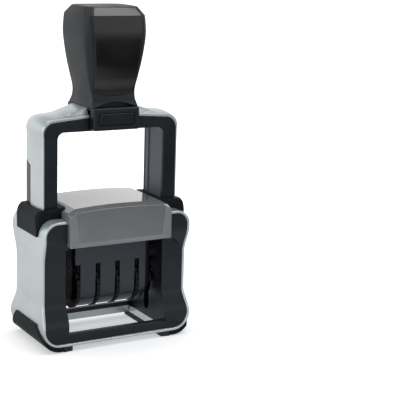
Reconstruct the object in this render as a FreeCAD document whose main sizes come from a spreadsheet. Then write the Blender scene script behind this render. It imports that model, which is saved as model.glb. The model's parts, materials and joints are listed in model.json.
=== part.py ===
# Self-inking date stamp with a pommel handle, at rest.
# +Z is up, +X is to the viewer's right and the front faces -Y.
# The origin lies on the paper, under the middle of the base. Lengths are in millimetres.
import FreeCAD, Part
import math
import os
import Sketcher

Vector = FreeCAD.Vector

# Driving dimensions: name, value, what it measures
SIZES = [
    ("overrun", 6, "how far a cut runs past the faces it opens"),
    ("run_gap", 0.3, "air between pieces that move past each other"),
    ("fit_gap", 0.05, "radial play of a pin or an axle in its hole"),
    ("press_travel", 27.7, "how far the bow goes down"),
    # Base band
    ("plate_side_gap", 2.9, "air between the text plate's carrier and a cheek"),
    ("cheek_wall", 1.7, "thickness of a cheek"),
    ("waist_stand", 3.1, "how far the waist stands out from the legs"),
    ("waist_depth", 29.8, "front to rear at the waist"),
    ("foot_flare_side", 1.1, "how much further a side stands out at the foot"),
    ("foot_flare_depth", 4.0, "how much further the front stands out at the foot"),
    ("shoulder_flare_side", 0.5, "the same at the shoulder"),
    ("shoulder_flare_depth", 3.1, "the same at the shoulder"),
    ("shell_wall", 1.2, "wall of the silver band"),
    ("shell_lift", 2.4, "underside of the band above the paper"),
    ("shoulder_height", 57.7, "top of the curled shoulders"),
    ("foot_bend_low", 10.6, "where the foot flare starts to draw in"),
    ("foot_bend_high", 21.5, "where the foot flare ends"),
    ("shoulder_bend_low", 38, "where the shoulder flare starts"),
    ("shoulder_bend_high", 50, "where the shoulder flare ends"),
    ("foot_corner", 8, "outer radius of the lower corners"),
    ("shoulder_corner", 6.5, "outer radius of the shoulders"),
    ("print_depth", 29.2, "front to rear of the print opening"),
    # Black frames
    ("frame_inset", 0.35, "how far the frames lie behind the band's rim"),
    ("frame_back", 10.2, "inner face of a frame from the middle"),
    ("sill_height", 7.5, "top of the sill"),
    ("sill_corner", 1.2, "radius of the window's lower corners"),
    ("toe_reach", 9.2, "how far a foot's lower edge runs outward from the cheek"),
    ("toe_drop", 2.3, "how far that edge falls on its way out"),
    ("toe_depth", 0.8, "how far the sill lies behind the feet"),
    ("block_bottom", 44.3, "underside of the shoulder blocks"),
    ("block_reach", 5, "how far a block's underside runs outward from the cheek"),
    ("cover_seat_gap", 0.3, "between the cover and the shoulders"),
    # Cheeks
    ("pivot_height", 38, "height of the date unit's axis"),
    ("pivot_radius", 2, "pivot pin"),
    ("peg_radius", 1.2, "flip peg"),
    ("peg_offset", 6.2, "flip peg below the axis"),
    ("groove_depth", 0.9, "depth of the flip track"),
    ("pin_gap", 0.3, "air between a pin and the slot that guides it"),
    # Collars
    ("collar_depth", 22.4, "front to rear of a collar"),
    ("collar_seat", 54, "underside of a collar inside the band"),
    ("collar_tab_bottom", 50.4, "lower end of the side tab"),
    ("collar_bulge_height", 58.2, "height of the collar's widest line"),
    ("collar_bulge", 1.1, "how far the widest line stands out from the band"),
    ("collar_tab_wall", 0.7, "thickness of the tab at its lower end"),
    ("collar_top_outer", 61.5, "outer top edge"),
    ("collar_top_inner", 62.4, "inner top edge"),
    ("collar_top_inset", 0.7, "outer top edge behind the band's side"),
    ("collar_lip_reach", 2.7, "how far the inner lip reaches over the cover"),
    ("collar_lip_bottom", 57.6, "where the inner lip starts"),
    ("collar_lip_high", 61.1, "underside of the lip at its end"),
    ("collar_corner_radius", 2.5, "rounding of the widest line"),
    ("collar_edge", 1.0, "chamfer along the front and rear top edges"),
    # Feet
    ("foot_wall", 0.7, "wall of the black shoes"),
    ("foot_top", 12, "top edge of a shoe"),
    ("foot_lift", 0.4, "underside of a shoe above the paper"),
    ("foot_reach", 9.7, "how far a shoe reaches under the band"),
    ("foot_top_depth", 22.6, "front to rear of a shoe at its top"),
    ("foot_low_depth", 32, "front to rear of a shoe where its ends start to slant"),
    ("foot_slant_low", 6.4, "where a shoe's ends start to slant"),
    ("foot_sole_depth", 37.6, "front to rear of a shoe's sole"),
    ("foot_sole_top", 3.6, "top of the sole's upright ends"),
    ("foot_top_round", 1.5, "rounding of its upper corners"),
    ("pad_width", 4.4, "width of a rubber runner"),
    ("pad_length", 37.4, "length of a rubber runner"),
    ("pad_round", 1.5, "rounding of a runner's corners"),
    # Sight rails
    ("rail_width", 1.3, "width of a bright rail"),
    ("rail_height", 0.9, "height of a bright rail"),
    ("rail_ledge", 1.6, "height of the ledge under it"),
    ("rail_length", 27.4, "length of a bright rail"),
    # Cover
    ("cover_stand", 1.0, "how far the cover reaches over a cheek"),
    ("cover_bottom", 46.4, "lower rim of the cover"),
    ("cover_front", 20.4, "front face of the cover from the middle"),
    ("cover_crease_inset", 1.6, "the crease behind the front face"),
    ("cover_ridge", 8.5, "rear end of the top face from the middle"),
    ("cover_rear", 17.5, "rear face of the cover from the middle"),
    ("cover_brow_height", 59.4, "top edge of the front face at its ends"),
    ("cover_crease_height", 60.5, "crease at its ends"),
    ("cover_ridge_height", 62.5, "rear end of the top face at its ends"),
    ("cover_rear_height", 57, "top of the rear face at its ends"),
    ("cover_crown", 0.9, "how much higher the middle is"),
    ("cover_flank_in", 2.7, "width of the slanted flanks"),
    ("cover_flank_drop", 3.3, "height of the slanted flanks"),
    ("cover_wall", 1.2, "wall of the cover"),
    ("label_top_margin", 2.9, "beside the label field, at its upper edge"),
    ("label_low_margin", 4.4, "beside the label field, at its lower edge"),
    ("label_rim", 1.9, "rim under the label field"),
    ("label_depth", 0.35, "depth of the label field"),
    # Ink cartridge
    ("ink_rail_width", 1.1, "ledge inside the cover"),
    ("ink_rail_height", 5.3, "height of the ledge"),
    ("ink_gap", 0.1, "cartridge above its ledge"),
    ("tray_wall", 0.8, "wall of the tray"),
    ("tray_floor", 1.2, "floor of the tray"),
    ("tray_flange", 1.2, "flange that runs on the ledge"),
    ("tray_flange_thick", 1.0, "thickness of the flange"),
    ("tray_top", 55, "top of the tray"),
    ("tray_front", 12.6, "front end of the tray from the middle"),
    ("tray_rear", 16.4, "rear end of the tray from the middle"),
    ("tray_lip", 4, "how far the grip stands out"),
    ("tray_lip_width", 18, "width of the grip"),
    ("felt_face", 48.3, "inked face"),
    ("felt_lip", 0.6, "how far the felt stands out of its tray"),
    # Bow
    ("leg_depth", 18.5, "front to rear of a leg"),
    ("window_height", 94.2, "underside of the bow's top bar"),
    ("window_corner", 3, "radius of the window's upper corners"),
    ("leg_width", 6.2, "black part of a leg, side to side"),
    ("bar_end_height", 98.2, "top of the black part at its ends"),
    ("bar_mid_height", 99.9, "the same beside the handle"),
    ("bar_corner", 5, "outer radius of the black part"),
    ("trim_thick", 1.6, "front and rear trims"),
    ("trim_bottom", 50, "lower end of the trims and core"),
    ("channel_depth", 0.5, "channel along the inner faces"),
    ("channel_width", 9.8, "width of that channel"),
    ("band_wall", 0.5, "silver band at its edges"),
    ("band_camber", 1.0, "how far the band's middle stands out"),
    ("band_rise", 1.4, "silver over the black part, on top"),
    ("band_bottom", 52, "lower end of the silver band"),
    ("saddle_reach", 9.5, "saddle beside the yoke"),
    ("saddle_rise", 2.2, "how far the saddle rises at the yoke"),
    ("saddle_edge_share", 0.1, "share of that rise left at the band's edges"),
    ("strip_front", 2.2, "front edge of a side strip from the middle"),
    ("strip_top", 80.8, "upper end of a side strip"),
    ("strip_slant", 1.6, "drop of its upper end"),
    # Sliders, springs and pins
    ("slider_bottom", 33, "lower end of a slider"),
    ("slider_corner", 2, "rounding of its lower corners"),
    ("spring_offset", 4.9, "spring behind the axis"),
    ("spring_outer", 1.9, "outer radius of a spring"),
    ("spring_wire", 0.6, "thickness of the spring's wire"),
    ("spring_top", 88, "upper end of a spring"),
    ("rod_radius", 1.0, "spring rod"),
    ("rod_top", 58, "upper end of a spring rod"),
    ("pin_inner_gap", 0.1, "inner end of a pivot pin beside the housing"),
    ("pin_outer_inset", 1.1, "outer end of a pivot pin inside the leg"),
    # Handle
    ("yoke_width", 21.8, "width of the yoke"),
    ("yoke_depth", 27.6, "front to rear of the yoke"),
    ("yoke_bottom", 94.8, "lower end of its cheeks"),
    ("yoke_top", 104.5, "top of the yoke"),
    ("yoke_channel", 102.8, "underside of its top plate"),
    ("yoke_round", 1.2, "rounding of its upright edges"),
    ("notch_height", 2.4, "arched gap under the grip"),
    ("notch_width", 20, "width of that gap"),
    ("notch_depth", 2.8, "depth of that gap"),
    ("grip_height", 42.4, "height of the grip"),
    ("grip_width", 29.8, "over its side faces"),
    ("grip_depth", 28.6, "over its front and rear faces"),
    ("panel_wall", 1.2, "thickness of the glossy panels"),
    ("panel_bottom", 113, "lower edge of the panels"),
    ("panel_sag", 0.9, "how far that edge is bowed"),
    ("panel_low_width", 19, "panel at its lower edge"),
    ("panel_top_width", 23.4, "panel at its upper edge"),
    ("panel_shoulder", 141.5, "where the panel's sides turn upright"),
    ("neck_groove_height", 110.4, "groove across the neck, at its ends"),
    ("neck_groove_width", 16, "length of that groove"),
    ("neck_groove_open", 0.5, "height of that groove"),
    ("neck_groove_depth", 0.5, "depth of that groove"),
    ("screw_radius", 1.5, "handle screw"),
    ("screw_head_radius", 2.6, "its head"),
    ("screw_head", 2, "height of the head"),
    ("screw_place", 5.5, "screw beside the middle"),
    ("screw_top", 114, "end of the screw"),
    # Lock button
    ("button_width", 16.6, "lock button"),
    ("button_bottom", 97.1, "its lower edge"),
    ("button_top", 102.2, "its upper edge"),
    ("button_proud", 0.3, "how far it stands out"),
    ("button_thick", 2.2, "its thickness"),
    ("button_gap", 0.2, "gap around it"),
    ("button_round", 0.9, "rounding of its corners"),
    # Date unit
    ("die_height", 47.8, "printing face at rest"),
    ("text_thick", 1.6, "rubber text plate"),
    ("text_width", 40.6, "width of the text plate"),
    ("text_depth", 22, "front to rear of the text plate"),
    ("die_thick", 1.6, "carrier of the text plate"),
    ("die_margin", 0.1, "carrier beyond the text plate"),
    ("window_left_margin", 5.6, "left of the date window"),
    ("window_right_margin", 2.7, "right of the date window"),
    ("window_depth", 8.4, "front to rear of the date window"),
    ("text_ridge", 0.5, "raised border on the text plate"),
    ("text_ridge_width", 1, "width of that border"),
    ("housing_left_inset", 3.4, "left end of the housing inside the text plate"),
    ("housing_right_inset", 2.6, "right end of the housing inside the text plate"),
    ("housing_depth", 18.8, "front to rear of the housing"),
    ("housing_wall", 1.3, "its wall"),
    ("housing_bottom", 14.6, "its underside"),
    ("housing_round", 8.5, "rounding along its underside"),
    ("wheel_height", 24.3, "axle of the setting wheels"),
    ("wheel_radius", 10.4, "rim of a setting wheel"),
    ("wheel_thick", 1.6, "thickness of its rim"),
    ("wheel_left_inset", 1.4, "first setting wheel inside the housing"),
    ("wheel_right_inset", 4.4, "last setting wheel inside the housing"),
    ("wheel_notch", 0.5, "depth of the grip notches"),
    ("drum_radius", 6.4, "drum that drives a band"),
    ("axle_radius", 1.5, "axle"),
    ("axle_end", 1.6, "how far the axle runs into the end plates"),
    ("slot_top", 35.5, "upper end of a wheel's slot"),
    ("band_thick", 1, "rubber band"),
    ("band_top_width", 7, "band across the print bridge"),
    ("band_top_corner", 1.4, "bend of the band at the bridge"),
    ("bridge_bottom", 42, "underside of the print bridge"),
    ("end_thick", 3, "end plates"),
    ("end_inset", 2.6, "end plates inside the housing's outline"),
    ("end_top", 44.6, "top of the end plates"),
    ("lug_radius", 0.9, "index lugs on the left end plate"),
    ("lug_length", 1.3, "how far the lugs stand out"),
    ("lug_inset", 0.6, "lugs behind the plate's front edge"),
]
WHEEL_NOTCHES = 12
TRACK_STEPS = 12
GRIP_STEPS = 2
BAND_SECTION_SHARES = (-1, -0.88, -0.45, 0, 0.45, 0.88, 1)
LUG_HEIGHT_SHARES = (0.41, 0.55, 0.65)
SAME_POINT = 1e-6

# Grip sections: share of its height; then shares of its half width and half depth, first at the
# edges of the side faces, then at the edges of the front and rear faces
GRIP_SHARES = [
    (0.000, 0.765, 0.762, 0.685, 0.923),
    (0.073, 0.718, 0.664, 0.664, 0.790),
    (0.165, 0.732, 0.608, 0.658, 0.748),
    (0.283, 0.812, 0.615, 0.691, 0.860),
    (0.425, 0.893, 0.685, 0.725, 0.944),
    (0.590, 0.960, 0.755, 0.765, 0.986),
    (0.743, 1.000, 0.776, 0.799, 1.000),
    (0.873, 0.993, 0.727, 0.812, 0.965),
]
# Straight facets from the last of those rows to the top
CREST_SHARES = [
    (0.960, 0.893, 0.615, 0.779, 0.818),
    (1.000, 0.779, 0.503, 0.711, 0.643),
]


class Size(float):
    """A number that remembers the sheet expression it was worked out from."""

    def __new__(cls, value, text):
        size = super().__new__(cls, value)
        size.text = text
        return size

    def __add__(self, other):
        return Size(float(self) + float(other), f"({self.text} + {text_of(other)})")

    def __radd__(self, other):
        return Size(float(other) + float(self), f"({text_of(other)} + {self.text})")

    def __sub__(self, other):
        return Size(float(self) - float(other), f"({self.text} - {text_of(other)})")

    def __rsub__(self, other):
        return Size(float(other) - float(self), f"({text_of(other)} - {self.text})")

    def __mul__(self, other):
        return Size(float(self) * float(other), f"({self.text} * {text_of(other)})")

    __rmul__ = __mul__

    def __truediv__(self, other):
        return Size(float(self) / float(other), f"({self.text} / {text_of(other)})")

    def __neg__(self):
        return Size(-float(self), f"(0 - {self.text})")


def text_of(number):
    return getattr(number, "text", repr(float(number)))


class Sizes:
    """The sheet's cells as Size values, one attribute per alias."""

    def __init__(self, sheet):
        for row, (name, value, note) in enumerate(SIZES, start=1):
            sheet.set(f"A{row}", name)
            sheet.set(f"B{row}", str(value))
            sheet.set(f"C{row}", note)
            sheet.setAlias(f"B{row}", name)
            setattr(self, name, Size(value, f"sizes.{name}"))


doc = FreeCAD.newDocument("date_stamp")
s = Sizes(doc.addObject("Spreadsheet::Sheet", "sizes"))
doc.recompute()


# Helpers that add one object each

def bind(thing, path, value):
    """Sets a property, or ties it to the sheet when the value came from there."""
    if isinstance(value, Size):
        thing.setExpression(path, value.text)
    elif path.startswith("Placement.Base."):
        setattr(thing.Placement.Base, path[-1], value)
    else:
        setattr(thing, path, value)


def place(thing, x, y, z):
    for path, value in (("x", x), ("y", y), ("z", z)):
        bind(thing, "Placement.Base." + path, value)


def box(name, x0, x1, y0, y1, z0, z1):
    block = doc.addObject("Part::Box", name)
    bind(block, "Length", x1 - x0)
    bind(block, "Width", y1 - y0)
    bind(block, "Height", z1 - z0)
    place(block, x0, y0, z0)
    return block


TURNS = {
    "x": FreeCAD.Rotation(Vector(0, 1, 0), 90),
    "z": FreeCAD.Rotation(),
}


def cylinder(name, axis, start, radius, length):
    """A cylinder from its start point along +axis."""
    round_bar = doc.addObject("Part::Cylinder", name)
    round_bar.Placement = FreeCAD.Placement(Vector(), TURNS[axis])
    bind(round_bar, "Radius", radius)
    bind(round_bar, "Height", length)
    place(round_bar, *start)
    return round_bar


class Via(tuple):
    """A point that the arc between its two neighbours passes through."""


def s_bend(start, end):
    """Two equal arcs from start to end, upright at both; both corners are included."""
    across, up = (end[0] - start[0]) / 2, (end[1] - start[1]) / 2
    radius = (across ** 2 + up ** 2) / (2 * abs(across))
    half = math.asin(abs(up) / radius) / 2
    step = (math.copysign(radius * (1 - math.cos(half)), across), math.copysign(radius * math.sin(half), up))
    middle = (start[0] + across, start[1] + up)
    first = Via((start[0] + step[0], start[1] + step[1]))
    second = Via((end[0] - step[0], end[1] - step[1]))
    return [start, first, middle, second, end]


def round_off(before, corner, after, radius):
    """Start, middle and end of the arc that rounds a corner."""
    point = Vector(*corner, 0)
    to_before = (Vector(*before, 0) - point).normalize()
    to_after = (Vector(*after, 0) - point).normalize()
    half = to_before.getAngle(to_after) / 2
    centre = point + (to_before + to_after).normalize() * (radius / math.sin(half))
    reach = radius / math.tan(half)
    middle = centre + (point - centre).normalize() * radius
    return point + to_before * reach, middle, point + to_after * reach


def outline_curves(outline):
    """Lines and arcs of a closed outline of (a, b), (a, b, corner radius) and Via points."""
    corners = [point for point in outline if not isinstance(point, Via)]
    vias = []
    for index, point in enumerate(outline):
        if not isinstance(point, Via):
            after = outline[(index + 1) % len(outline)]
            vias.append(after if isinstance(after, Via) else None)
    count = len(corners)
    arrive, leave, curves = [], [], []
    for index, point in enumerate(corners):
        flat = tuple(float(value) for value in point[:2])
        if len(point) == 3 and point[2] > 0:
            before = corners[index - 1][:2]
            after = corners[(index + 1) % count][:2]
            first, middle, last = round_off(before, flat, after, point[2])
            curves.append(Part.Arc(first, middle, last))
        else:
            first = last = Vector(*flat, 0)
        arrive.append(first)
        leave.append(last)
    for index in range(count):
        start, end = leave[index], arrive[(index + 1) % count]
        if vias[index]:
            curves.append(Part.Arc(start, Vector(*[float(v) for v in vias[index]], 0), end))
        elif (end - start).Length > SAME_POINT:
            curves.append(Part.LineSegment(start, end))
    return curves


# How a sketch's two axes lie in the stamp, and the way its prisms grow
PLANES = {
    "xy": (FreeCAD.Rotation(), Vector(0, 0, 1)),
    "xz": (FreeCAD.Rotation(Vector(1, 0, 0), 90), Vector(0, 1, 0)),
    "yz": (FreeCAD.Rotation(Vector(1, 1, 1), 120), Vector(1, 0, 0)),
}


def sketch(name, plane, outlines, start):
    """One or more closed outlines, drawn at a height along the plane's growing direction."""
    drawing = doc.addObject("Sketcher::SketchObject", name)
    drawing.Placement = FreeCAD.Placement(Vector(), PLANES[plane][0])
    bind(drawing, "Placement.Base." + "zyx"[("xy", "xz", "yz").index(plane)], start)
    for outline in outlines:
        drawing.addGeometry(outline_curves(outline), False)
    return drawing


def extrude(name, drawing, plane, length):
    solid = doc.addObject("Part::Extrusion", name)
    solid.Base = drawing
    solid.DirMode = "Custom"
    solid.Dir = PLANES[plane][1]
    solid.Solid = True
    bind(solid, "LengthFwd", length)
    return solid


def prism(name, plane, outline, start, end):
    """A solid with a constant outline, from start to end along the plane's growing direction."""
    return extrude(name, sketch(name + "_outline", plane, [outline], start), plane, end - start)


def loft(name, plane, sections, ruled):
    """A solid through outlines drawn at several heights."""
    solid = doc.addObject("Part::Loft", name)
    solid.Sections = [
        sketch(f"{name}_section_{index}", plane, [outline], height)
        for index, (height, outline) in enumerate(sections)
    ]
    solid.Solid = True
    solid.Ruled = ruled
    return solid


def cut(name, base, *tools):
    """Takes the tools away one after another; the last cut has the name."""
    for index, tool in enumerate(tools):
        last = tool is tools[-1]
        solid = doc.addObject("Part::Cut", name if last else f"{name}_cut_{index}")
        solid.Base = base
        solid.Tool = tool
        base = solid
    return base


def fuse(name, *pieces):
    solid = doc.addObject("Part::MultiFuse", name)
    solid.Shapes = list(pieces)
    return solid


def common(name, *pieces):
    solid = doc.addObject("Part::MultiCommon", name)
    solid.Shapes = list(pieces)
    return solid


def group(name, *pieces):
    """Separate solids that share one node."""
    solids = doc.addObject("Part::Compound", name)
    solids.Links = list(pieces)
    return solids


def mirror(name, piece, normal):
    copy = doc.addObject("Part::Mirroring", name)
    copy.Source = piece
    copy.Normal = normal
    return copy


SIDE_TO_SIDE = Vector(1, 0, 0)
FRONT_TO_REAR = Vector(0, 1, 0)
NODES = {}


def node(label, piece):
    """Names the piece as one sub-part of the stamp."""
    piece.Label = label
    NODES[label] = piece
    return piece


def flip_sides(right_label, left_label, piece):
    """A right-hand piece and its left-hand mirror image."""
    node(right_label, piece)
    node(left_label, mirror(left_label, piece, SIDE_TO_SIDE))


def both_ways(points):
    """The given right-hand points, then their mirror images in reverse."""
    left = [type(point)((-point[0], *point[1:])) for point in reversed(points)]
    return list(points) + left


# Places that several pieces share
text_x = s.text_width / 2
cheek_in = text_x + s.die_margin + s.plate_side_gap
cheek_out = cheek_in + s.cheek_wall
leg_in = cheek_out + s.run_gap
leg_out = leg_in + s.leg_width
leg_middle = leg_in + s.leg_width / 2
leg_y = s.leg_depth / 2
waist_x = leg_out + s.waist_stand
foot_x = waist_x + s.foot_flare_side
shoulder_x = waist_x + s.shoulder_flare_side
waist_y = s.waist_depth / 2
foot_y = waist_y + s.foot_flare_depth
shoulder_y = waist_y + s.shoulder_flare_depth
floor_top = s.shell_lift + s.shell_wall
cover_x = cheek_in + s.cover_stand
cover_inner_x = cover_x - s.cover_wall
curl_x = cover_x + s.cover_seat_gap
far = foot_x + s.overrun
collar_y = s.collar_depth / 2
foot_inner = foot_x - s.foot_reach
tray_x = cover_inner_x - s.run_gap - s.tray_flange
housing_left = text_x - s.housing_left_inset
housing_right = text_x - s.housing_right_inset
window_left = text_x - s.window_left_margin
window_right = text_x - s.window_right_margin


# Base band and frames

def band_side(inset):
    """Right half of the band's outline, from the shoulder's curled end down to the floor."""
    return [
        (curl_x, s.shoulder_height - inset),
        (shoulder_x - inset, s.shoulder_height - inset, s.shoulder_corner - inset),
        *s_bend((shoulder_x - inset, s.shoulder_bend_high), (waist_x - inset, s.shoulder_bend_low)),
        *s_bend((waist_x - inset, s.foot_bend_high), (foot_x - inset, s.foot_bend_low)),
        (foot_x - inset, s.shell_lift + inset, s.foot_corner - inset),
    ]


def waist_cutter(name, inset):
    """Everything in front of the hourglass front face, drawn inset, and the same behind the rear face."""
    top = s.shoulder_height + s.overrun
    front = prism(name + "_front", "yz", [
        (-far, -s.overrun),
        (-foot_y + inset, -s.overrun),
        *s_bend((-foot_y + inset, s.foot_bend_low), (-waist_y + inset, s.foot_bend_high)),
        *s_bend((-waist_y + inset, s.shoulder_bend_low), (-shoulder_y + inset, s.shoulder_bend_high)),
        (-shoulder_y + inset, top),
        (-far, top),
    ], -far, far)
    return front, mirror(name + "_rear", front, FRONT_TO_REAR)


def collar_notch(name):
    """Room for both collars, cut out of the shoulders."""
    right = box(name + "_right", cheek_in, far, -collar_y, collar_y,
                s.collar_seat, s.shoulder_height + s.overrun)
    return right, mirror(name + "_left", right, SIDE_TO_SIDE)


def make_base_shell():
    outer = both_ways(band_side(0))
    inner = both_ways(band_side(s.shell_wall))
    ring = prism("base_shell_ring", "xz", outer + inner[::-1], -far, far)
    rails_in = cheek_in - s.rail_width
    opening = box("print_opening", -rails_in, rails_in, -s.print_depth / 2, s.print_depth / 2,
                  -s.overrun, floor_top + s.overrun)
    seat = cylinder("spring_seat", "z", (leg_middle, s.spring_offset, floor_top),
                    s.spring_outer + s.run_gap, s.overrun)
    seat_left = mirror("spring_seat_left", seat, SIDE_TO_SIDE)
    node("base_shell", cut("base_shell", ring, opening, *waist_cutter("band_waist", 0),
                           *collar_notch("shell_notch"), seat, seat_left))


def make_frames():
    window = [
        (-curl_x, s.shoulder_height - s.shell_wall),
        (-curl_x, s.cover_bottom),
        (-cheek_in, s.cover_bottom),
        (-cheek_in, s.sill_height, s.sill_corner),
        (cheek_in, s.sill_height, s.sill_corner),
        (cheek_in, s.cover_bottom),
        (curl_x, s.cover_bottom),
    ]
    outline = both_ways(band_side(s.shell_wall)) + window[1:]
    ring = prism("frame_ring", "xz", outline, -far, -s.frame_back)
    opening_end = s.print_depth / 2
    sill_back = box("sill_back", -cheek_in, cheek_in, -opening_end, -s.frame_back,
                    -s.overrun, s.sill_height + s.sill_corner)
    undercut = prism("block_undercut", "xz", [
        (cheek_in - s.overrun, s.shoulder_bend_low),
        (cheek_in - s.overrun, s.block_bottom),
        (cheek_in + s.block_reach, s.block_bottom),
        (shoulder_x, s.shoulder_bend_low),
    ], -far, -waist_y + s.frame_inset)
    undercut_left = mirror("block_undercut_left", undercut, SIDE_TO_SIDE)
    toe_line = prism("toe_recess", "xz", both_ways([
        (cheek_in, s.sill_height + s.overrun),
        (cheek_in, s.sill_height),
        (cheek_in + s.toe_reach, s.sill_height - s.toe_drop),
        (cheek_in + s.toe_reach, -s.overrun),
    ]), -far, -foot_y + s.frame_inset + s.toe_depth)
    frame = cut("front_frame", ring, sill_back, undercut, undercut_left, toe_line,
                *waist_cutter("frame_waist", s.frame_inset), *collar_notch("frame_notch"))
    node("front_frame", frame)
    node("rear_frame", mirror("rear_frame", frame, FRONT_TO_REAR))


def track_edge(offset):
    """Points along one edge of the flip track, which mirrors itself about its middle height."""
    middle = s.pivot_height - s.press_travel / 2
    upper = []
    for step in range(TRACK_STEPS):
        turn = math.pi / 2 * step / TRACK_STEPS
        y = -s.peg_offset * math.sin(turn)
        z = s.pivot_height - s.press_travel * turn / math.pi - s.peg_offset * math.cos(turn)
        forward = -s.peg_offset * math.cos(turn)
        downward = s.peg_offset * math.sin(turn) - s.press_travel / math.pi
        across = Vector(forward, downward, 0).normalize()
        point = Vector(y - across.y * offset, z + across.x * offset, 0)
        if point.y > middle:
            upper.append(point)
    lower = [Vector(point.x, 2 * middle - point.y, 0) for point in reversed(upper)]
    return upper, lower


def spline_through(points):
    curve = Part.BSplineCurve()
    curve.interpolate(points)
    return curve


def make_cheeks():
    plate = box("cheek_plate", cheek_in, cheek_out, -s.frame_back, s.frame_back, floor_top, s.cover_bottom)
    slot_half = s.pivot_radius + s.pin_gap
    lowest = s.pivot_height - s.press_travel
    slot = prism("pivot_slot", "yz", [
        (-slot_half, lowest),
        Via((0, lowest - slot_half)),
        (slot_half, lowest),
        (slot_half, s.pivot_height),
        Via((0, s.pivot_height + slot_half)),
        (-slot_half, s.pivot_height),
    ], cheek_in - s.overrun, cheek_out + s.overrun)
    half_track = s.peg_radius + s.pin_gap
    inner_upper, inner_lower = track_edge(half_track)
    outer_upper, outer_lower = track_edge(-half_track)
    track_sketch = sketch("flip_track_outline", "yz", [], cheek_in - s.overrun)
    track_sketch.addGeometry([
        spline_through(inner_upper), Part.LineSegment(inner_upper[-1], inner_lower[0]),
        spline_through(inner_lower), Part.LineSegment(inner_lower[-1], outer_lower[-1]),
        spline_through(outer_lower), Part.LineSegment(outer_lower[0], outer_upper[-1]),
        spline_through(outer_upper), Part.LineSegment(outer_upper[0], inner_upper[0]),
    ], False)
    track = extrude("flip_track", track_sketch, "yz", s.overrun + s.groove_depth)
    ledge = box("rail_ledge", cheek_in - s.rail_width, cheek_in, -s.rail_length / 2, s.rail_length / 2,
                floor_top, floor_top + s.rail_ledge)
    walls = cut("cheek_wall", plate, slot, track)
    flip_sides("right_cheek", "left_cheek", fuse("right_cheek", walls, ledge))


def make_collars():
    side = shoulder_x
    front_view = prism("collar_front_view", "xz", [
        (curl_x, s.collar_seat),
        (curl_x, s.collar_lip_bottom),
        (curl_x - s.collar_lip_reach, s.collar_lip_high),
        (curl_x - s.collar_lip_reach, s.collar_top_inner),
        (side - s.collar_top_inset, s.collar_top_outer, s.collar_top_inset),
        (side + s.collar_bulge, s.collar_bulge_height, s.collar_corner_radius),
        (side + s.collar_tab_wall, s.collar_tab_bottom),
        (side, s.collar_tab_bottom),
        (side, s.collar_seat),
    ], -collar_y, collar_y)
    side_view = prism("collar_side_view", "yz", both_ways([
        (collar_y - s.collar_edge, s.collar_tab_bottom, s.collar_edge),
        (collar_y, s.collar_seat),
        (collar_y, s.collar_top_outer - s.collar_edge),
        (collar_y - s.collar_edge, s.collar_top_inner + s.overrun),
    ]), cheek_in - s.overrun, far)
    hole = box("collar_hole", cheek_out, waist_x - s.shell_wall, -leg_y - s.run_gap, leg_y + s.run_gap,
               s.collar_tab_bottom, s.collar_top_inner + s.overrun)
    body = common("collar_body", front_view, side_view)
    room = cover_loft("cover_room", s.cover_seat_gap)
    flip_sides("right_collar", "left_collar", cut("right_collar", body, hole, room))


def make_feet():
    lowest = s.foot_lift
    front_view = prism("foot_front_view", "xz", [
        (cheek_in, s.shell_lift),
        (cheek_in, lowest),
        (foot_x + s.foot_wall, lowest, s.foot_corner + s.foot_wall),
        (foot_x + s.foot_wall, s.foot_top),
        (foot_x - s.foot_wall, s.foot_top),
        (foot_x - s.foot_wall, s.foot_bend_low),
    ], -far, far)
    band_core = prism("foot_band_core", "xz", both_ways(band_side(0)), -far, far)
    side_view = prism("foot_side_view", "yz", both_ways([
        (s.foot_sole_depth / 2, lowest),
        (s.foot_sole_depth / 2, s.foot_sole_top),
        (s.foot_low_depth / 2, s.foot_slant_low),
        (s.foot_top_depth / 2, s.foot_top, s.foot_top_round),
    ]), foot_inner, far)
    shoe = common("foot_body", front_view, side_view)
    flip_sides("right_foot", "left_foot", cut("right_foot", shoe, band_core))
    pad_x = foot_inner - s.pad_width
    pad = prism("right_pad", "xy", [
        (pad_x, -s.pad_length / 2, s.pad_round),
        (foot_inner, -s.pad_length / 2),
        (foot_inner, s.pad_length / 2),
        (pad_x, s.pad_length / 2, s.pad_round),
    ], 0, s.shell_lift)
    node("foot_pads", group("foot_pads", pad, mirror("left_pad", pad, SIDE_TO_SIDE)))


def make_sight_rails():
    low = floor_top + s.rail_ledge
    rail = box("right_sight_rail", cheek_in - s.rail_width, cheek_in, -s.rail_length / 2, s.rail_length / 2,
               low, low + s.rail_height)
    flip_sides("right_sight_rail", "left_sight_rail", rail)


# Cover and ink cartridge

def cover_section(height, margin):
    """Front view of the cover: upright sides, slanted flanks and an arched top."""
    side = cover_x + margin
    top_x = side - s.cover_flank_in
    top = height + margin / 2
    return [
        (-side, s.cover_bottom),
        (side, s.cover_bottom),
        (side, top - s.cover_flank_drop),
        (top_x, top),
        Via((0, top + s.cover_crown)),
        (-top_x, top),
        (-side, top - s.cover_flank_drop),
    ]


def cover_loft(name, margin):
    """The cover's outer form, or the room that it takes with a margin all round."""
    return loft(name, "xz", [
        (-s.cover_front, cover_section(s.cover_brow_height, margin)),
        (-s.cover_front + s.cover_crease_inset, cover_section(s.cover_crease_height, margin)),
        (s.cover_ridge, cover_section(s.cover_ridge_height, margin)),
        (s.cover_rear, cover_section(s.cover_rear_height, margin)),
    ], True)


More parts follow.
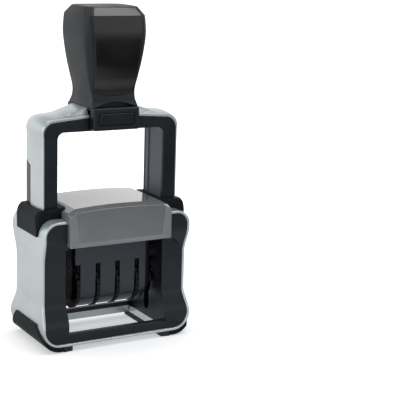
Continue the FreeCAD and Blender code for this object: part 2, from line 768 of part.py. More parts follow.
def make_cover():
    solid = cover_loft("cover_solid", 0)
    inner_top = s.cover_brow_height - s.cover_wall
    cavity = prism("cover_cavity", "xz", [
        (-cover_inner_x, s.cover_bottom - s.overrun),
        (cover_inner_x, s.cover_bottom - s.overrun),
        (cover_inner_x, inner_top - s.cover_flank_drop),
        (cover_inner_x - s.cover_flank_in, inner_top),
        (-cover_inner_x + s.cover_flank_in, inner_top),
        (-cover_inner_x, inner_top - s.cover_flank_drop),
    ], -s.cover_front + s.cover_wall, s.cover_ridge)
    flange_room = s.cover_bottom + s.ink_rail_height + s.ink_gap + s.tray_flange_thick + s.run_gap
    tray_room = tray_x + s.run_gap
    rear_slot = prism("cartridge_slot", "xz", both_ways([
        (cover_inner_x, s.cover_bottom - s.overrun),
        (cover_inner_x, flange_room),
        (tray_room, flange_room),
        (tray_room, s.tray_top + s.run_gap),
    ]), s.cover_ridge, s.cover_rear + s.overrun)
    label_top = s.cover_brow_height + s.label_rim
    low_x, top_x = cover_x - s.label_low_margin, cover_x - s.label_top_margin
    label = prism("label_field", "xz", [
        (-low_x, s.cover_bottom + s.label_rim),
        (low_x, s.cover_bottom + s.label_rim),
        (top_x, label_top),
        (-top_x, label_top),
    ], -s.cover_front - s.overrun, -s.cover_front + s.label_depth)
    node("pad_cover", cut("pad_cover", solid, cavity, rear_slot, label))
    rail_y = s.cover_front - s.cover_wall
    rail = box("right_pad_rail", cover_inner_x - s.ink_rail_width, cover_inner_x, -rail_y, s.tray_rear,
               s.cover_bottom, s.cover_bottom + s.ink_rail_height)
    flip_sides("right_pad_rail", "left_pad_rail", rail)


def make_cartridge():
    rim = s.felt_face + s.felt_lip
    flange = s.cover_bottom + s.ink_rail_height + s.ink_gap
    flange_x = tray_x + s.tray_flange
    tray = prism("tray_solid", "xz", both_ways([
        (tray_x, rim),
        (tray_x, flange),
        (flange_x, flange),
        (flange_x, flange + s.tray_flange_thick),
        (tray_x, flange + s.tray_flange_thick),
        (tray_x, s.tray_top),
    ]), -s.tray_front, s.tray_rear)
    felt_x = tray_x - s.tray_wall
    felt_front = -s.tray_front + s.tray_wall
    felt_rear = s.tray_rear - s.tray_wall
    felt_top = s.tray_top - s.tray_floor
    well = box("tray_well", -felt_x, felt_x, felt_front, felt_rear, s.felt_face, felt_top)
    grip_x = s.tray_lip_width / 2
    grip = box("tray_grip", -grip_x, grip_x, s.tray_rear, s.tray_rear + s.tray_lip, rim, s.tray_top)
    node("ink_cartridge", cut("ink_cartridge", fuse("tray_with_grip", tray, grip), well))
    node("ink_felt", box("ink_felt", -felt_x, felt_x, felt_front, felt_rear, s.felt_face, felt_top))


# Bow

def bow_outline():
    """Closed outline of the bow's black layers, with the legs' lower ends open to the sliders."""
    return both_ways([
        (s.yoke_width / 2, s.bar_mid_height),
        (leg_out, s.bar_end_height, s.bar_corner),
        (leg_out, s.trim_bottom),
        (leg_in, s.trim_bottom),
        (leg_in, s.window_height, s.window_corner),
    ])


def silver_section(share):
    """The silver band's outline, at a share of the half depth from the middle."""
    crown = 1 - share ** 2
    out = s.band_camber * crown
    up = s.band_rise + out
    saddle = s.saddle_rise * (s.saddle_edge_share + (1 - s.saddle_edge_share) * crown)
    mid = s.yoke_width / 2
    slope = (s.bar_mid_height - s.bar_end_height) / (leg_out - mid)
    return both_ways([
        (mid, s.bar_mid_height + up),
        (mid, s.bar_mid_height + up + saddle),
        (mid + s.saddle_reach, s.bar_mid_height + up - slope * s.saddle_reach),
        (leg_out + s.band_wall + out, s.bar_end_height + up, s.bar_corner + s.band_rise),
        (leg_out + s.band_wall + out, s.band_bottom),
        (leg_out, s.band_bottom),
        (leg_out, s.bar_end_height, s.bar_corner),
        (mid, s.bar_mid_height),
    ])


def screw(name, x):
    shank = cylinder(name + "_shank", "z", (x, 0, s.window_height), s.screw_radius,
                     s.screw_top - s.window_height)
    head = cylinder(name + "_head", "z", (x, 0, s.window_height), s.screw_head_radius, s.screw_head)
    return fuse(name, shank, head)


def make_screws():
    screws = group("handle_screws", screw("right_screw", s.screw_place), screw("left_screw", -s.screw_place))
    node("handle_screws", screws)
    return screws


def spring_bore(name, bottom, radius):
    """Room for both springs, from a height upward."""
    right = cylinder(name, "z", (leg_middle, s.spring_offset, bottom), radius, s.spring_top - bottom)
    return right, mirror(name + "_left", right, SIDE_TO_SIDE)


def make_bow(screws):
    trim_y = leg_y - s.trim_thick
    trim = prism("bow_front_trim", "xz", bow_outline(), -leg_y, -trim_y)
    node("bow_front_trim", trim)
    node("bow_rear_trim", mirror("bow_rear_trim", trim, FRONT_TO_REAR))
    core = prism("core_ring", "xz", bow_outline(), -trim_y, trim_y)
    half_channel = s.channel_width / 2
    channel = prism("core_channel", "xz", both_ways([
        (leg_in + s.channel_depth, s.window_height + s.channel_depth, s.window_corner),
        (leg_in + s.channel_depth, s.trim_bottom - s.overrun),
    ]), -half_channel, half_channel)
    bores = spring_bore("core_bore", s.trim_bottom - s.overrun, s.spring_outer + s.run_gap)
    node("bow_core", cut("bow_core", core, channel, *bores, screws))
    return loft("silver_band", "xz", [
        (leg_y * share, silver_section(share)) for share in BAND_SECTION_SHARES
    ], True)


def make_silver_band(silver, screws):
    region = prism("strip_region", "yz", [
        (s.strip_front, s.band_bottom - s.overrun),
        (leg_y + s.overrun, s.band_bottom - s.overrun),
        (leg_y + s.overrun, s.strip_top),
        (s.strip_front + s.strip_slant, s.strip_top - s.strip_slant / 2),
        (s.strip_front, s.strip_top - s.strip_slant),
    ], leg_in, far)
    region_left = mirror("strip_region_left", region, SIDE_TO_SIDE)
    node("bow_shell", cut("bow_shell", silver, region, region_left, screws))
    flip_sides("right_side_strip", "left_side_strip", common("right_side_strip", silver, region))


def make_sliders():
    trim_y = leg_y - s.trim_thick
    block = prism("slider_block", "yz", [
        (-trim_y, s.slider_bottom, s.slider_corner),
        (trim_y, s.slider_bottom, s.slider_corner),
        (trim_y, s.trim_bottom),
        (-trim_y, s.trim_bottom),
    ], leg_in, leg_out)
    bore = cylinder("slider_bore", "z", (leg_middle, s.spring_offset, s.slider_bottom - s.overrun),
                    s.spring_outer + s.run_gap, s.trim_bottom - s.slider_bottom + 2 * s.overrun)
    pin_inner = housing_right + s.pin_inner_gap
    pin = cylinder("right_pivot_pin", "x", (pin_inner, 0, s.pivot_height), s.pivot_radius,
                   leg_out - s.pin_outer_inset - pin_inner)
    flip_sides("right_slider", "left_slider", cut("right_slider", block, bore, pin))
    flip_sides("right_pivot_pin", "left_pivot_pin", pin)


def make_springs():
    foot = (leg_middle, s.spring_offset, floor_top)
    flip_sides("right_spring_rod", "left_spring_rod",
               cylinder("right_spring_rod", "z", foot, s.rod_radius, s.rod_top - floor_top))
    length = s.spring_top - floor_top
    outer = cylinder("spring_outside", "z", foot, s.spring_outer, length)
    inner = cylinder("spring_inside", "z", (leg_middle, s.spring_offset, floor_top - s.overrun),
                     s.spring_outer - s.spring_wire, length + 2 * s.overrun)
    flip_sides("right_spring", "left_spring", cut("right_spring", outer, inner))


# Handle

def grip_section(shares, thinner):
    """An eight-sided section: side faces, front and rear faces, and the bevels between them."""
    side_x, side_y, front_x, front_y = shares
    half_x, half_y = s.grip_width / 2, s.grip_depth / 2
    front = both_ways([(half_x * side_x, half_y * side_y), (half_x * front_x, half_y * front_y - thinner)])
    return front + [(-x, -y) for x, y in front]


def grip_rows():
    """The rows of grip shares with smooth rows between them, by Catmull and Rom's formula."""
    rows = [GRIP_SHARES[0], *GRIP_SHARES, GRIP_SHARES[-1]]
    smooth = []
    for before, start, end, after in zip(rows, rows[1:], rows[2:], rows[3:]):
        for step in range(GRIP_STEPS):
            t = step / GRIP_STEPS
            smooth.append([
                b + t / 2 * (c - a + t * (2 * a - 5 * b + 4 * c - d + t * (3 * (b - c) + d - a)))
                for a, b, c, d in zip(before, start, end, after)
            ])
    return smooth + [GRIP_SHARES[-1]] + CREST_SHARES


def grip_loft(name, thinner):
    return loft(name, "xy", [
        (s.yoke_top + s.grip_height * height, grip_section(shares, thinner))
        for height, *shares in grip_rows()
    ], True)


def make_handle(screws):
    mid_x, mid_y = s.yoke_width / 2, s.yoke_depth / 2
    yoke = prism("yoke_block", "xy", [
        (-mid_x, -mid_y, s.yoke_round), (mid_x, -mid_y, s.yoke_round),
        (mid_x, mid_y, s.yoke_round), (-mid_x, mid_y, s.yoke_round),
    ], s.yoke_bottom, s.yoke_top)
    channel = box("yoke_channel", -far, far, -leg_y, leg_y, s.yoke_bottom - s.overrun, s.yoke_channel)
    pocket_x = s.button_width / 2 + s.button_gap
    pocket = box("button_pocket", -pocket_x, pocket_x, -far, -leg_y,
                 s.button_bottom - s.button_gap, s.button_top + s.button_gap)
    node("handle_yoke", cut("handle_yoke", yoke, channel, pocket, screws))

    whole = grip_loft("grip_whole", 0)
    core = grip_loft("grip_core", s.panel_wall)
    crest = s.yoke_top + s.grip_height + s.overrun
    panel_view = prism("panel_view", "xz", [
        (-s.panel_low_width / 2, s.panel_bottom),
        Via((0, s.panel_bottom - s.panel_sag)),
        (s.panel_low_width / 2, s.panel_bottom),
        (s.panel_top_width / 2, s.panel_shoulder),
        (s.panel_top_width / 2, crest),
        (-s.panel_top_width / 2, crest),
        (-s.panel_top_width / 2, s.panel_shoulder),
    ], -far, 0)
    panel = cut("handle_front_panel", common("panel_front_half", whole, panel_view), core)
    node("handle_front_panel", panel)
    node("handle_rear_panel", mirror("handle_rear_panel", panel, FRONT_TO_REAR))
    notch = prism("grip_notch", "xz", [
        (-s.notch_width / 2, s.yoke_top),
        Via((0, s.yoke_top + s.notch_height)),
        (s.notch_width / 2, s.yoke_top),
    ], -far, -mid_y + s.notch_depth)
    groove_x, low = s.neck_groove_width / 2, s.neck_groove_height
    neck = prism("neck_groove", "xz", [
        (-groove_x, low),
        Via((0, low - s.panel_sag - s.neck_groove_open / 2)),
        (groove_x, low),
        Via((0, low - s.panel_sag + s.neck_groove_open / 2)),
    ], -far, 0)
    shallow = cut("neck_groove_cutter", common("neck_groove_front", whole, neck),
                  grip_loft("neck_groove_floor", s.neck_groove_depth))
    cutters = [panel, notch, shallow]
    rear_cutters = [mirror(f"grip_rear_cutter_{index}", piece, FRONT_TO_REAR)
                    for index, piece in enumerate(cutters)]
    node("handle_grip", cut("handle_grip", whole, *cutters, *rear_cutters, screws))


def make_lock_button():
    half = s.button_width / 2
    face = -s.yoke_depth / 2 - s.button_proud
    node("lock_button", prism("lock_button", "xz", [
        (-half, s.button_bottom, s.button_round), (half, s.button_bottom, s.button_round),
        (half, s.button_top, s.button_round), (-half, s.button_top, s.button_round),
    ], face, face + s.button_thick))


# Date unit

def housing_outline(inset, top):
    """Side view of the housing: upright front and rear, and a rounded underside."""
    half = s.housing_depth / 2 - inset
    low = s.housing_bottom + inset
    return [
        (half, top),
        (-half, top),
        (-half, low, s.housing_round - inset),
        (half, low, s.housing_round - inset),
    ]


def wheel_places():
    """The four setting wheels, evenly spaced between the insets at both ends."""
    first = -housing_left + s.wheel_left_inset
    pitch = (housing_right - s.wheel_right_inset - first) / 3
    return [first + pitch * index for index in range(4)]


def make_housing():
    top = s.die_height - s.text_thick - s.die_thick
    block = prism("housing_block", "yz", housing_outline(0, top), -housing_left, housing_right)
    cavity = prism("housing_cavity", "yz", housing_outline(s.housing_wall, top + s.overrun),
                   -housing_left - s.overrun, housing_right + s.overrun)
    slot_half = s.wheel_thick / 2 + s.run_gap
    slots = [
        box(f"wheel_slot_{index}", x - slot_half, x + slot_half, -far, far,
            s.housing_bottom - s.overrun, s.slot_top)
        for index, x in enumerate(wheel_places())
    ]
    node("date_housing", cut("date_housing", block, cavity, *slots))


def make_end_plates():
    outline = housing_outline(s.end_inset, s.end_top)
    right = prism("right_end_solid", "yz", outline, housing_right, housing_right + s.end_thick)
    left = prism("left_end_solid", "yz", outline, -housing_left - s.end_thick, -housing_left)
    bore = cylinder("pivot_bore", "x", (-far, 0, s.pivot_height), s.pivot_radius + s.fit_gap, 2 * far)
    axle = cylinder("axle_bore", "x", (-far, 0, s.wheel_height), s.axle_radius, 2 * far)
    tip = cheek_in + s.groove_depth - s.run_gap
    peg_z = s.pivot_height - s.peg_offset
    right_peg = cylinder("right_peg", "x", (housing_right, 0, peg_z), s.peg_radius, tip - housing_right)
    left_peg = cylinder("left_peg", "x", (-tip, 0, peg_z), s.peg_radius, tip - housing_left)
    lug_x = -housing_left - s.end_thick - s.lug_length
    lug_y = -s.housing_depth / 2 + s.end_inset + s.lug_inset
    lugs = [
        cylinder(f"index_lug_{index}", "x",
                 (lug_x, lug_y, s.housing_bottom + (s.end_top - s.housing_bottom) * share),
                 s.lug_radius, s.lug_length + s.end_thick / 2)
        for index, share in enumerate(LUG_HEIGHT_SHARES)
    ]
    node("right_end_plate", cut("right_end_plate", fuse("right_end_with_peg", right, right_peg), bore, axle))
    left_end = fuse("left_end_with_peg", left, left_peg, *lugs)
    node("left_end_plate", cut("left_end_plate", left_end, bore, axle))


def plate_with_window(name, half_x, half_y, low, high):
    plate = box(name + "_blank", -half_x, half_x, -half_y, half_y, low, high)
    window = box(name + "_window", -window_left, window_right, -s.window_depth / 2, s.window_depth / 2,
                 low - s.overrun, high + s.overrun)
    return plate, window


def make_plates():
    text_low = s.die_height - s.text_thick
    half_y = s.text_depth / 2
    plate, window = plate_with_window("die_plate", text_x + s.die_margin, half_y + s.die_margin,
                                      text_low - s.die_thick, text_low)
    node("die_plate", cut("die_plate", plate, window))
    plate, window = plate_with_window("text_plate", text_x, half_y, text_low, s.die_height)
    field = box("text_field", -text_x + s.text_ridge_width, text_x - s.text_ridge_width,
                -half_y + s.text_ridge_width, half_y - s.text_ridge_width,
                s.die_height - s.text_ridge, s.die_height + s.overrun)
    node("text_plate", cut("text_plate", plate, window, field))


def wheel_outline():
    """A round rim with evenly spaced grip notches."""
    points = []
    for index in range(2 * WHEEL_NOTCHES):
        turn = math.pi * index / WHEEL_NOTCHES
        radius = s.wheel_radius - s.wheel_notch * (index % 2)
        for side in (-1, 1):
            angle = turn + side * math.pi / WHEEL_NOTCHES / 4
            points.append((radius * math.sin(angle), s.wheel_height + radius * math.cos(angle)))
    return points


def belt_outline(inset):
    """Side view of a band: round the drum below and over the print bridge above."""
    radius = s.drum_radius + s.run_gap + s.band_thick - inset
    half, top = s.band_top_width / 2 - inset, s.die_height - inset
    corner = math.hypot(half, top - s.wheel_height)
    lean = math.atan2(half, top - s.wheel_height) + math.acos(radius / corner)
    touch = (radius * math.sin(lean), s.wheel_height + radius * math.cos(lean))
    return [
        (half, top, s.band_top_corner - inset),
        touch,
        Via((0, s.wheel_height - radius)),
        (-touch[0], touch[1]),
        (-half, top, s.band_top_corner - inset),
    ]


def make_wheels_and_bands():
    names = ("year", "month", "day_tens", "day_units")
    half = s.wheel_thick / 2
    places = wheel_places()
    ends = places[1:] + [housing_right + half]
    for name, x, end in zip(names, places, ends):
        rim = prism(name + "_rim", "yz", wheel_outline(), x - half, x + half)
        band_start, band_end = x + half + s.run_gap, end - half - s.run_gap
        drum = cylinder(name + "_drum", "x", (x, 0, s.wheel_height), s.drum_radius, band_end - x)
        bore = cylinder(name + "_bore", "x", (x - s.overrun, 0, s.wheel_height),
                        s.axle_radius + s.fit_gap, band_end - x + 2 * s.overrun)
        node(name + "_wheel", cut(name + "_wheel", fuse(name + "_wheel_solid", rim, drum), bore))
        loop = prism(name + "_loop", "yz", belt_outline(0), band_start, band_end)
        inside = prism(name + "_loop_inside", "yz", belt_outline(s.band_thick), band_start - s.overrun,
                       band_end + s.overrun)
        node(name + "_band", cut(name + "_band", loop, inside))
    bridge_y = s.band_top_width / 2 - s.band_thick
    plate_low, bridge_top = s.die_height - s.text_thick - s.die_thick, s.die_height - s.band_thick
    node("print_bridge", prism("print_bridge", "xz", [
        (-housing_left, s.bridge_bottom),
        (housing_right, s.bridge_bottom),
        (housing_right, plate_low),
        (window_right - s.run_gap, plate_low),
        (window_right - s.run_gap, bridge_top),
        (-window_left + s.run_gap, bridge_top),
        (-window_left + s.run_gap, plate_low),
        (-housing_left, plate_low),
    ], -bridge_y, bridge_y))
    axle_x = housing_right + s.axle_end
    node("wheel_axle", cylinder("wheel_axle", "x", (-axle_x, 0, s.wheel_height), s.axle_radius, 2 * axle_x))


make_base_shell()
make_frames()
make_cheeks()
make_collars()
make_feet()
make_sight_rails()
make_cover()
make_cartridge()
handle_screws = make_screws()
make_silver_band(make_bow(handle_screws), handle_screws)
make_sliders()
make_springs()
make_handle(handle_screws)
make_lock_button()
make_housing()
make_end_plates()
make_plates()
make_wheels_and_bands()
doc.recompute()

# Every object must be whole before anything is written
for thing in doc.Objects:
    if {"Invalid", "Error"} & set(thing.State):
        raise RuntimeError(f"{thing.Name} failed: {thing.State}")
for label, piece in NODES.items():
    shape = piece.Shape
    if shape.isNull() or not shape.isValid() or not shape.Solids:
        raise RuntimeError(f"{label} has no valid solid")
os.makedirs("parts", exist_ok=True)
for label, piece in NODES.items():
    piece.Shape.exportStep(f"parts/{label}.step")
print(len(NODES), "nodes")
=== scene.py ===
# %% [markdown]
# A self-inking date stamp, dressed for a photograph.
#
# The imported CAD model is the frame: it says where every piece is and how it moves. This
# lesson builds the visible skins around it. Most are surfaces worked out with numpy: a
# moulded part is a few smooth faces, and the small radius where they meet catches light.

import json
import math

import bmesh
import bpy
import numpy as np
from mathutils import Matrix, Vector


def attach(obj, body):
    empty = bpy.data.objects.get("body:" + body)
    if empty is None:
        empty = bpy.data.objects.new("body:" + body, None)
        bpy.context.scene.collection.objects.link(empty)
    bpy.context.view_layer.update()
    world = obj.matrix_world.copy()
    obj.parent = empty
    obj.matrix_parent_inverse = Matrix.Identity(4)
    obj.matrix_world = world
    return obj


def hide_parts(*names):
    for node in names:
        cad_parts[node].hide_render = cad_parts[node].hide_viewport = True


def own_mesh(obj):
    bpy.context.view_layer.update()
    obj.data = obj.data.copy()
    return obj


join = np.concatenate
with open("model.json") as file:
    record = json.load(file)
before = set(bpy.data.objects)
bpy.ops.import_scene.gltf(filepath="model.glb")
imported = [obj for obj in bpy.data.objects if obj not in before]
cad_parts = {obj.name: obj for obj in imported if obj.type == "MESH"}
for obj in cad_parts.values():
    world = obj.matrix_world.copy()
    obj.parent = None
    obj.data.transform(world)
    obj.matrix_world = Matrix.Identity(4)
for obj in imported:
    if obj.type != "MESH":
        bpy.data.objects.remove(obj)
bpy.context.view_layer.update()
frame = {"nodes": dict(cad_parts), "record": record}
bodies = frame["record"]["behaviour"]["bodies"]
body_of_node = {node: body for body, nodes in bodies.items() for node in nodes}
slot_of_node = {entry["node"]: entry["material_slot"] for entry in frame["record"]["subparts"]}
print("nodes:", len(frame["nodes"]), "bodies:", len(bodies))

# %% [markdown]
# Blender works in metres. All shapes below are written in millimetres, and one function
# turns them into a mesh in metres. These are the sizes that several pieces share.

# %% Shared sizes, in millimetres
MM, CHEEK_IN = 0.001, 23.3
WAIST_X, WAIST_Y = 34.6, 14.9
FOOT_FLARE, SHOULDER_FLARE = (1.1, 4.0), (0.5, 3.1)
FOOT_BEND, SHOULDER_BEND = (10.6, 21.5), (38.0, 50.0)
SHELL_LIFT, SHELL_WALL, SHOULDER_Z = 2.4, 1.2, 57.7
FOOT_CORNER, SHOULDER_CORNER = 8.0, 6.5
CURL_X, COLLAR_Y = 24.6, 11.2
LEG_IN, LEG_OUT, LEG_Y, LEG_FOOT = 25.3, 31.5, 9.25, 52.0
WINDOW_Z, BAR_END_Z, BAR_MID_Z, BAR_CORNER = 94.2, 98.2, 99.9, 5.0
YOKE_X, YOKE_Y, YOKE_LOW, YOKE_TOP = 10.9, 13.8, 94.8, 104.5
GRIP_HEIGHT, GRIP_X, GRIP_Y = 42.4, 14.9, 14.3


def ease(share):
    """Smooth step: 3t^2 - 2t^3, flat at both ends."""
    t = np.clip(share, 0.0, 1.0)
    return t * t * (3.0 - 2.0 * t)


def waist_curve(z, waist, foot_flare, shoulder_flare):
    """Half size of the hourglass at height z: the waist, plus an eased flare at the foot and at the shoulder."""
    z = np.asarray(z, float)
    foot = ease((FOOT_BEND[1] - z) / (FOOT_BEND[1] - FOOT_BEND[0]))
    shoulder = ease((z - SHOULDER_BEND[0]) / (SHOULDER_BEND[1] - SHOULDER_BEND[0]))
    return waist + foot_flare * foot + shoulder_flare * shoulder


def side_at(z):
    """Half width of the base at height z."""
    return waist_curve(z, WAIST_X, FOOT_FLARE[0], SHOULDER_FLARE[0])


def front_at(z):
    """Half depth of the base at height z."""
    return waist_curve(z, WAIST_Y, FOOT_FLARE[1], SHOULDER_FLARE[1])


print("half width and depth at three heights:", [(float(side_at(z)), float(front_at(z))) for z in (30, 5, 55)])

# %% [markdown]
# Everything solid here is a skin on a grid. `skin` takes rows of points, closes each row
# into a ring, and makes the four-sided faces as one array. Each end of the tube gets one
# flat face as a cap. So a piece only has to say where its points are.

# %% Grid surfaces
def skin(grid, caps=True):
    """Points of shape (rows, columns, 3) become a tube: each row closes into a ring, and flat faces cap the ends."""
    rows, columns = grid.shape[:2]
    index = np.arange(rows * columns).reshape(rows, columns)
    ahead = np.roll(index, -1, axis=1)
    faces = np.stack([index[:-1], ahead[:-1], ahead[1:], index[1:]], axis=-1).reshape(-1, 4).tolist()
    if caps:
        faces += [index[0, ::-1].tolist(), index[-1].tolist()]
    return grid.reshape(-1, 3), faces


def mirrored(part, axis):
    """The same surface on the other side of the middle plane."""
    points, faces = part
    flipped = points.copy()
    flipped[:, axis] *= -1
    return flipped, [face[::-1] for face in faces]


def both_sides(part, axis=0):
    """The surface and its mirror image."""
    return [part, mirrored(part, axis)]


def to_space(plane, a, b, c):
    """Plane coordinates a and b, and c across the plane, in the object's x, y and z."""
    a, b, c = np.broadcast_arrays(a, b, c)
    return np.stack({"xz": (a, c, b), "yz": (c, a, b), "xy": (a, b, c)}[plane], axis=-1)


# %% [markdown]
# A moulded edge is never sharp. So an outline is written as its corners, each with its
# radius, and each corner is replaced by points of its arc.

# %% Outlines with rounded corners
def unit(vectors):
    """Vectors scaled to length one; a vector of zeros stays zero."""
    return vectors / np.maximum(np.linalg.norm(vectors, axis=-1, keepdims=True), 1e-9)


def round_outline(corners, steps=6):
    """Corners (a, b) or (a, b, radius) of a closed outline become points.

    A radius becomes an arc about its centre: centre + (start sin((1 - t) turn) + end sin(t turn)) / sin(turn),
    where start and end are the two tangent points and t runs from 0 to 1.
    """
    table = np.array([(*corner, 0.0)[:3] for corner in corners], float)
    here, radius = table[:, None, :2], table[:, None, 2:]
    before = unit(np.roll(here, 1, axis=0) - here)
    after = unit(np.roll(here, -1, axis=0) - here)
    half = np.arccos(np.clip(np.sum(before * after, axis=2, keepdims=True), -1, 1)) / 2
    centre = here + unit(before + after) * radius / np.sin(half)
    reach = radius / np.tan(half)
    start, end = here + before * reach - centre, here + after * reach - centre
    turn = np.maximum(math.pi - 2 * half, 1e-6)
    t = np.linspace(0, 1, steps + 1)[None, :, None]
    arcs = centre + (start * np.sin((1 - t) * turn) + end * np.sin(t * turn)) / np.sin(turn)
    return arcs[(radius[..., 0] > 0) | (t[..., 0] == 0)]


def arc(centre, radius, start, end, steps=12):
    """Points of an arc; angles in degrees from +a towards +b."""
    turn = np.radians(np.linspace(start, end, steps + 1))
    return np.array(centre) + radius * np.stack([np.cos(turn), np.sin(turn)], axis=1)


def rectangle(a0, a1, b0, b1, radius=0.0, steps=6):
    """A rectangle from a0 to a1 and from b0 to b1, all four corners alike."""
    return round_outline([(a0, b0, radius), (a1, b0, radius), (a1, b1, radius), (a0, b1, radius)], steps)


def with_mirror(right):
    """Corners of the right half, followed by the left half backwards."""
    return right + [(-a, *rest) for a, *rest in right[::-1]]


def inset_outline(points, distance):
    """Moves each point of a closed outline inward along its mitre, the sum of the normals of its two sides."""
    area = np.sum(points[:, 0] * np.roll(points[:, 1], -1) - points[:, 1] * np.roll(points[:, 0], -1))
    ahead = unit(np.roll(points, -1, axis=0) - points)
    normal = ahead[:, ::-1] * [-1, 1] * np.sign(area)
    mitre = normal + np.roll(normal, 1, axis=0)
    mitre /= np.maximum(np.sum(mitre * mitre, axis=1, keepdims=True) / 2, 0.25)
    return points + mitre * distance

# %% [markdown]
# Most small pieces are slabs: one outline with a thickness and a rounded rim. Each ring
# of the rim is the outline moved inward by radius x (1 - sin t), at a depth of radius x
# (1 - cos t).

# %% Slabs with a rounded rim
def slab(plane, outline, low, high, rim=0.3, steps=3, low_rim=None):
    """A closed solid between two flat faces, with both rims rounded over."""
    low_rim = rim if low_rim is None else low_rim
    turns = np.linspace(0, math.pi / 2, steps + 1)
    rings = [(low_rim * (1 - math.sin(t)), low + low_rim * (1 - math.cos(t))) for t in turns]
    rings += [(rim * (1 - math.sin(t)), high - rim * (1 - math.cos(t))) for t in turns[::-1]]
    return skin(np.stack([to_space(plane, *inset_outline(outline, inset).T, level) for inset, level in rings]))


def rod(centre, radius, low, high, rim=0.2, sides=32):
    """A round bar along x with softened ends."""
    return slab("yz", arc(centre, radius, 0, 360, sides)[:-1], low, high, rim)

# %% [markdown]
# The silver shell, the shoes and the housing are sheets bent along a path. `strip`
# carries a rounded rectangle along the path, which is the outer face. The rectangle's
# depth is the sheet's wall, and its two edges may move apart or together.

# %% Strips carried along a path
def path_normals(path):
    """Unit normals of an open path, to the left of its direction."""
    return unit(np.gradient(path, axis=0))[:, ::-1] * [-1, 1]


def strip(path, outward, wall, low, high, rim=0.35, steps=3, rise=None, shares=(0.5,), plane="xz"):
    """A sheet along a path: `outward` are its normals, `low` and `high` its edges across the plane.

    The outer half of the section is a quarter circle, the points at `shares` of the width, and a quarter circle;
    the inner half is the same row backwards, measured up from the wall. `rise` lifts the outer face.
    """
    wall, low, high = (np.broadcast_to(value, len(path)).astype(float)[:, None] for value in (wall, low, high))
    turns = np.linspace(0, math.pi / 2, steps + 1)
    edge, drop, level_part = rim * (1 - np.cos(turns)), rim * (1 - np.sin(turns)), np.zeros(len(shares))
    share = join([np.zeros(steps + 1), shares, np.ones(steps + 1)])
    inward = join([edge, level_part, -edge[::-1]])
    down = join([drop, level_part, drop[::-1]])
    level = low + share * (high - low) + inward
    lift = rise((level - low) / (high - low) * 2 - 1) if rise else 0 * level
    offset = join([lift - down, down[::-1] - wall], axis=1)
    base = path[:, None, :] + outward[:, None, :] * offset[..., None]
    return skin(to_space(plane, base[..., 0], base[..., 1], join([level, level[:, ::-1]], axis=1)))

# %% [markdown]
# A finished piece is one mesh, in metres, with its place in its mesh. Faces are turned
# outward once, shaded smooth, and edges over 38 degrees stay crisp. The piece stands for
# a CAD node, so it rides on that node's body, and it wears the finish it is given.

# %% Make a piece
def link_object(name, data):
    """An object for a mesh, a light or a camera, placed in the scene."""
    thing = bpy.data.objects.new(name, data)
    bpy.context.scene.collection.objects.link(thing)
    return thing


def closed_mesh(name, parts):
    """Joins surfaces in millimetres into one mesh in metres, with doubles merged and faces turned outward."""
    points, faces, start = [], [], 0
    for part_points, part_faces in parts:
        points.append(part_points * MM)
        faces += [[corner + start for corner in face] for face in part_faces]
        start += len(part_points)
    mesh = bpy.data.meshes.new(name)
    mesh.from_pydata(join(points).tolist(), [], faces)
    build = bmesh.new()
    build.from_mesh(mesh)
    bmesh.ops.remove_doubles(build, verts=build.verts, dist=1e-7)
    bmesh.ops.recalc_face_normals(build, faces=build.faces)
    build.to_mesh(mesh)
    build.free()
    return mesh


def make_piece(name, parts, material, stands_for=None, body=None, crisp=38):
    """One object that rides with a CAD node and stands for it; edges over `crisp` degrees stay sharp."""
    mesh = closed_mesh(name, parts)
    mesh.polygons.foreach_set("use_smooth", np.ones(len(mesh.polygons), bool))
    mesh.set_sharp_from_angle(angle=math.radians(crisp))
    mesh.materials.append(material)
    piece = link_object(name, mesh)
    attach(piece, body or body_of_node[stands_for])
    if stands_for:
        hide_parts(stands_for)
    piece.modifiers.new("even shading", "WEIGHTED_NORMAL").keep_sharp = True
    print(f"{name}: {len(mesh.polygons)} faces")
    return piece


def each_side(name, part, material, stands_for):
    """A piece for the right and its mirror image for the left; {} in both names becomes the side."""
    for side, form in (("right", part), ("left", mirrored(part, 0))):
        make_piece(name.format(side), [form], material, stands_for.format(side))

# %% [markdown]
# Materials are node trees, so they need no pictures. One function adds a node with its
# settings and links. Colours are written as on screen and turned to linear light once.

# %% Material helpers
def linear(hex_colour):
    """sRGB hex to linear light: each channel c becomes c/12.92, or ((c + 0.055)/1.055)^2.4 above 0.04045."""
    channels = np.array([int(hex_colour[i:i + 2], 16) / 255 for i in (1, 3, 5)])
    low, high = channels / 12.92, ((channels + 0.055) / 1.055) ** 2.4
    return (*np.where(channels <= 0.04045, low, high).tolist(), 1.0)


def fresh_tree(owner):
    """The emptied node tree of a material or a world."""
    owner.use_nodes = True
    owner.node_tree.nodes.clear()
    return owner.node_tree


def add(tree, kind, values=None, **settings):
    """Adds one node. An input takes a value, an output to link, or a node, whose first output in use is linked."""
    node = tree.nodes.new("ShaderNode" + kind)
    for name, value in settings.items():
        setattr(node, name, value)
    for name, value in (values or {}).items():
        named = [socket for socket in node.inputs if socket.enabled and socket.name == name]
        socket = named[0] if named else node.inputs[name]
        if isinstance(value, bpy.types.Node):
            value = next(output for output in value.outputs if output.enabled)
        if isinstance(value, bpy.types.NodeSocket):
            tree.links.new(value, socket)
        else:
            socket.default_value = value
    return node

# %% [markdown]
# Every finish follows one recipe. A slow cloud of noise, about a centimetre across, tints
# the colour and the dullness a little, as handling and moulding do. Fine spots of a true
# size in millimetres bend the highlight. Both use the object's own coordinates, so a
# pattern stays on its piece when the piece moves.

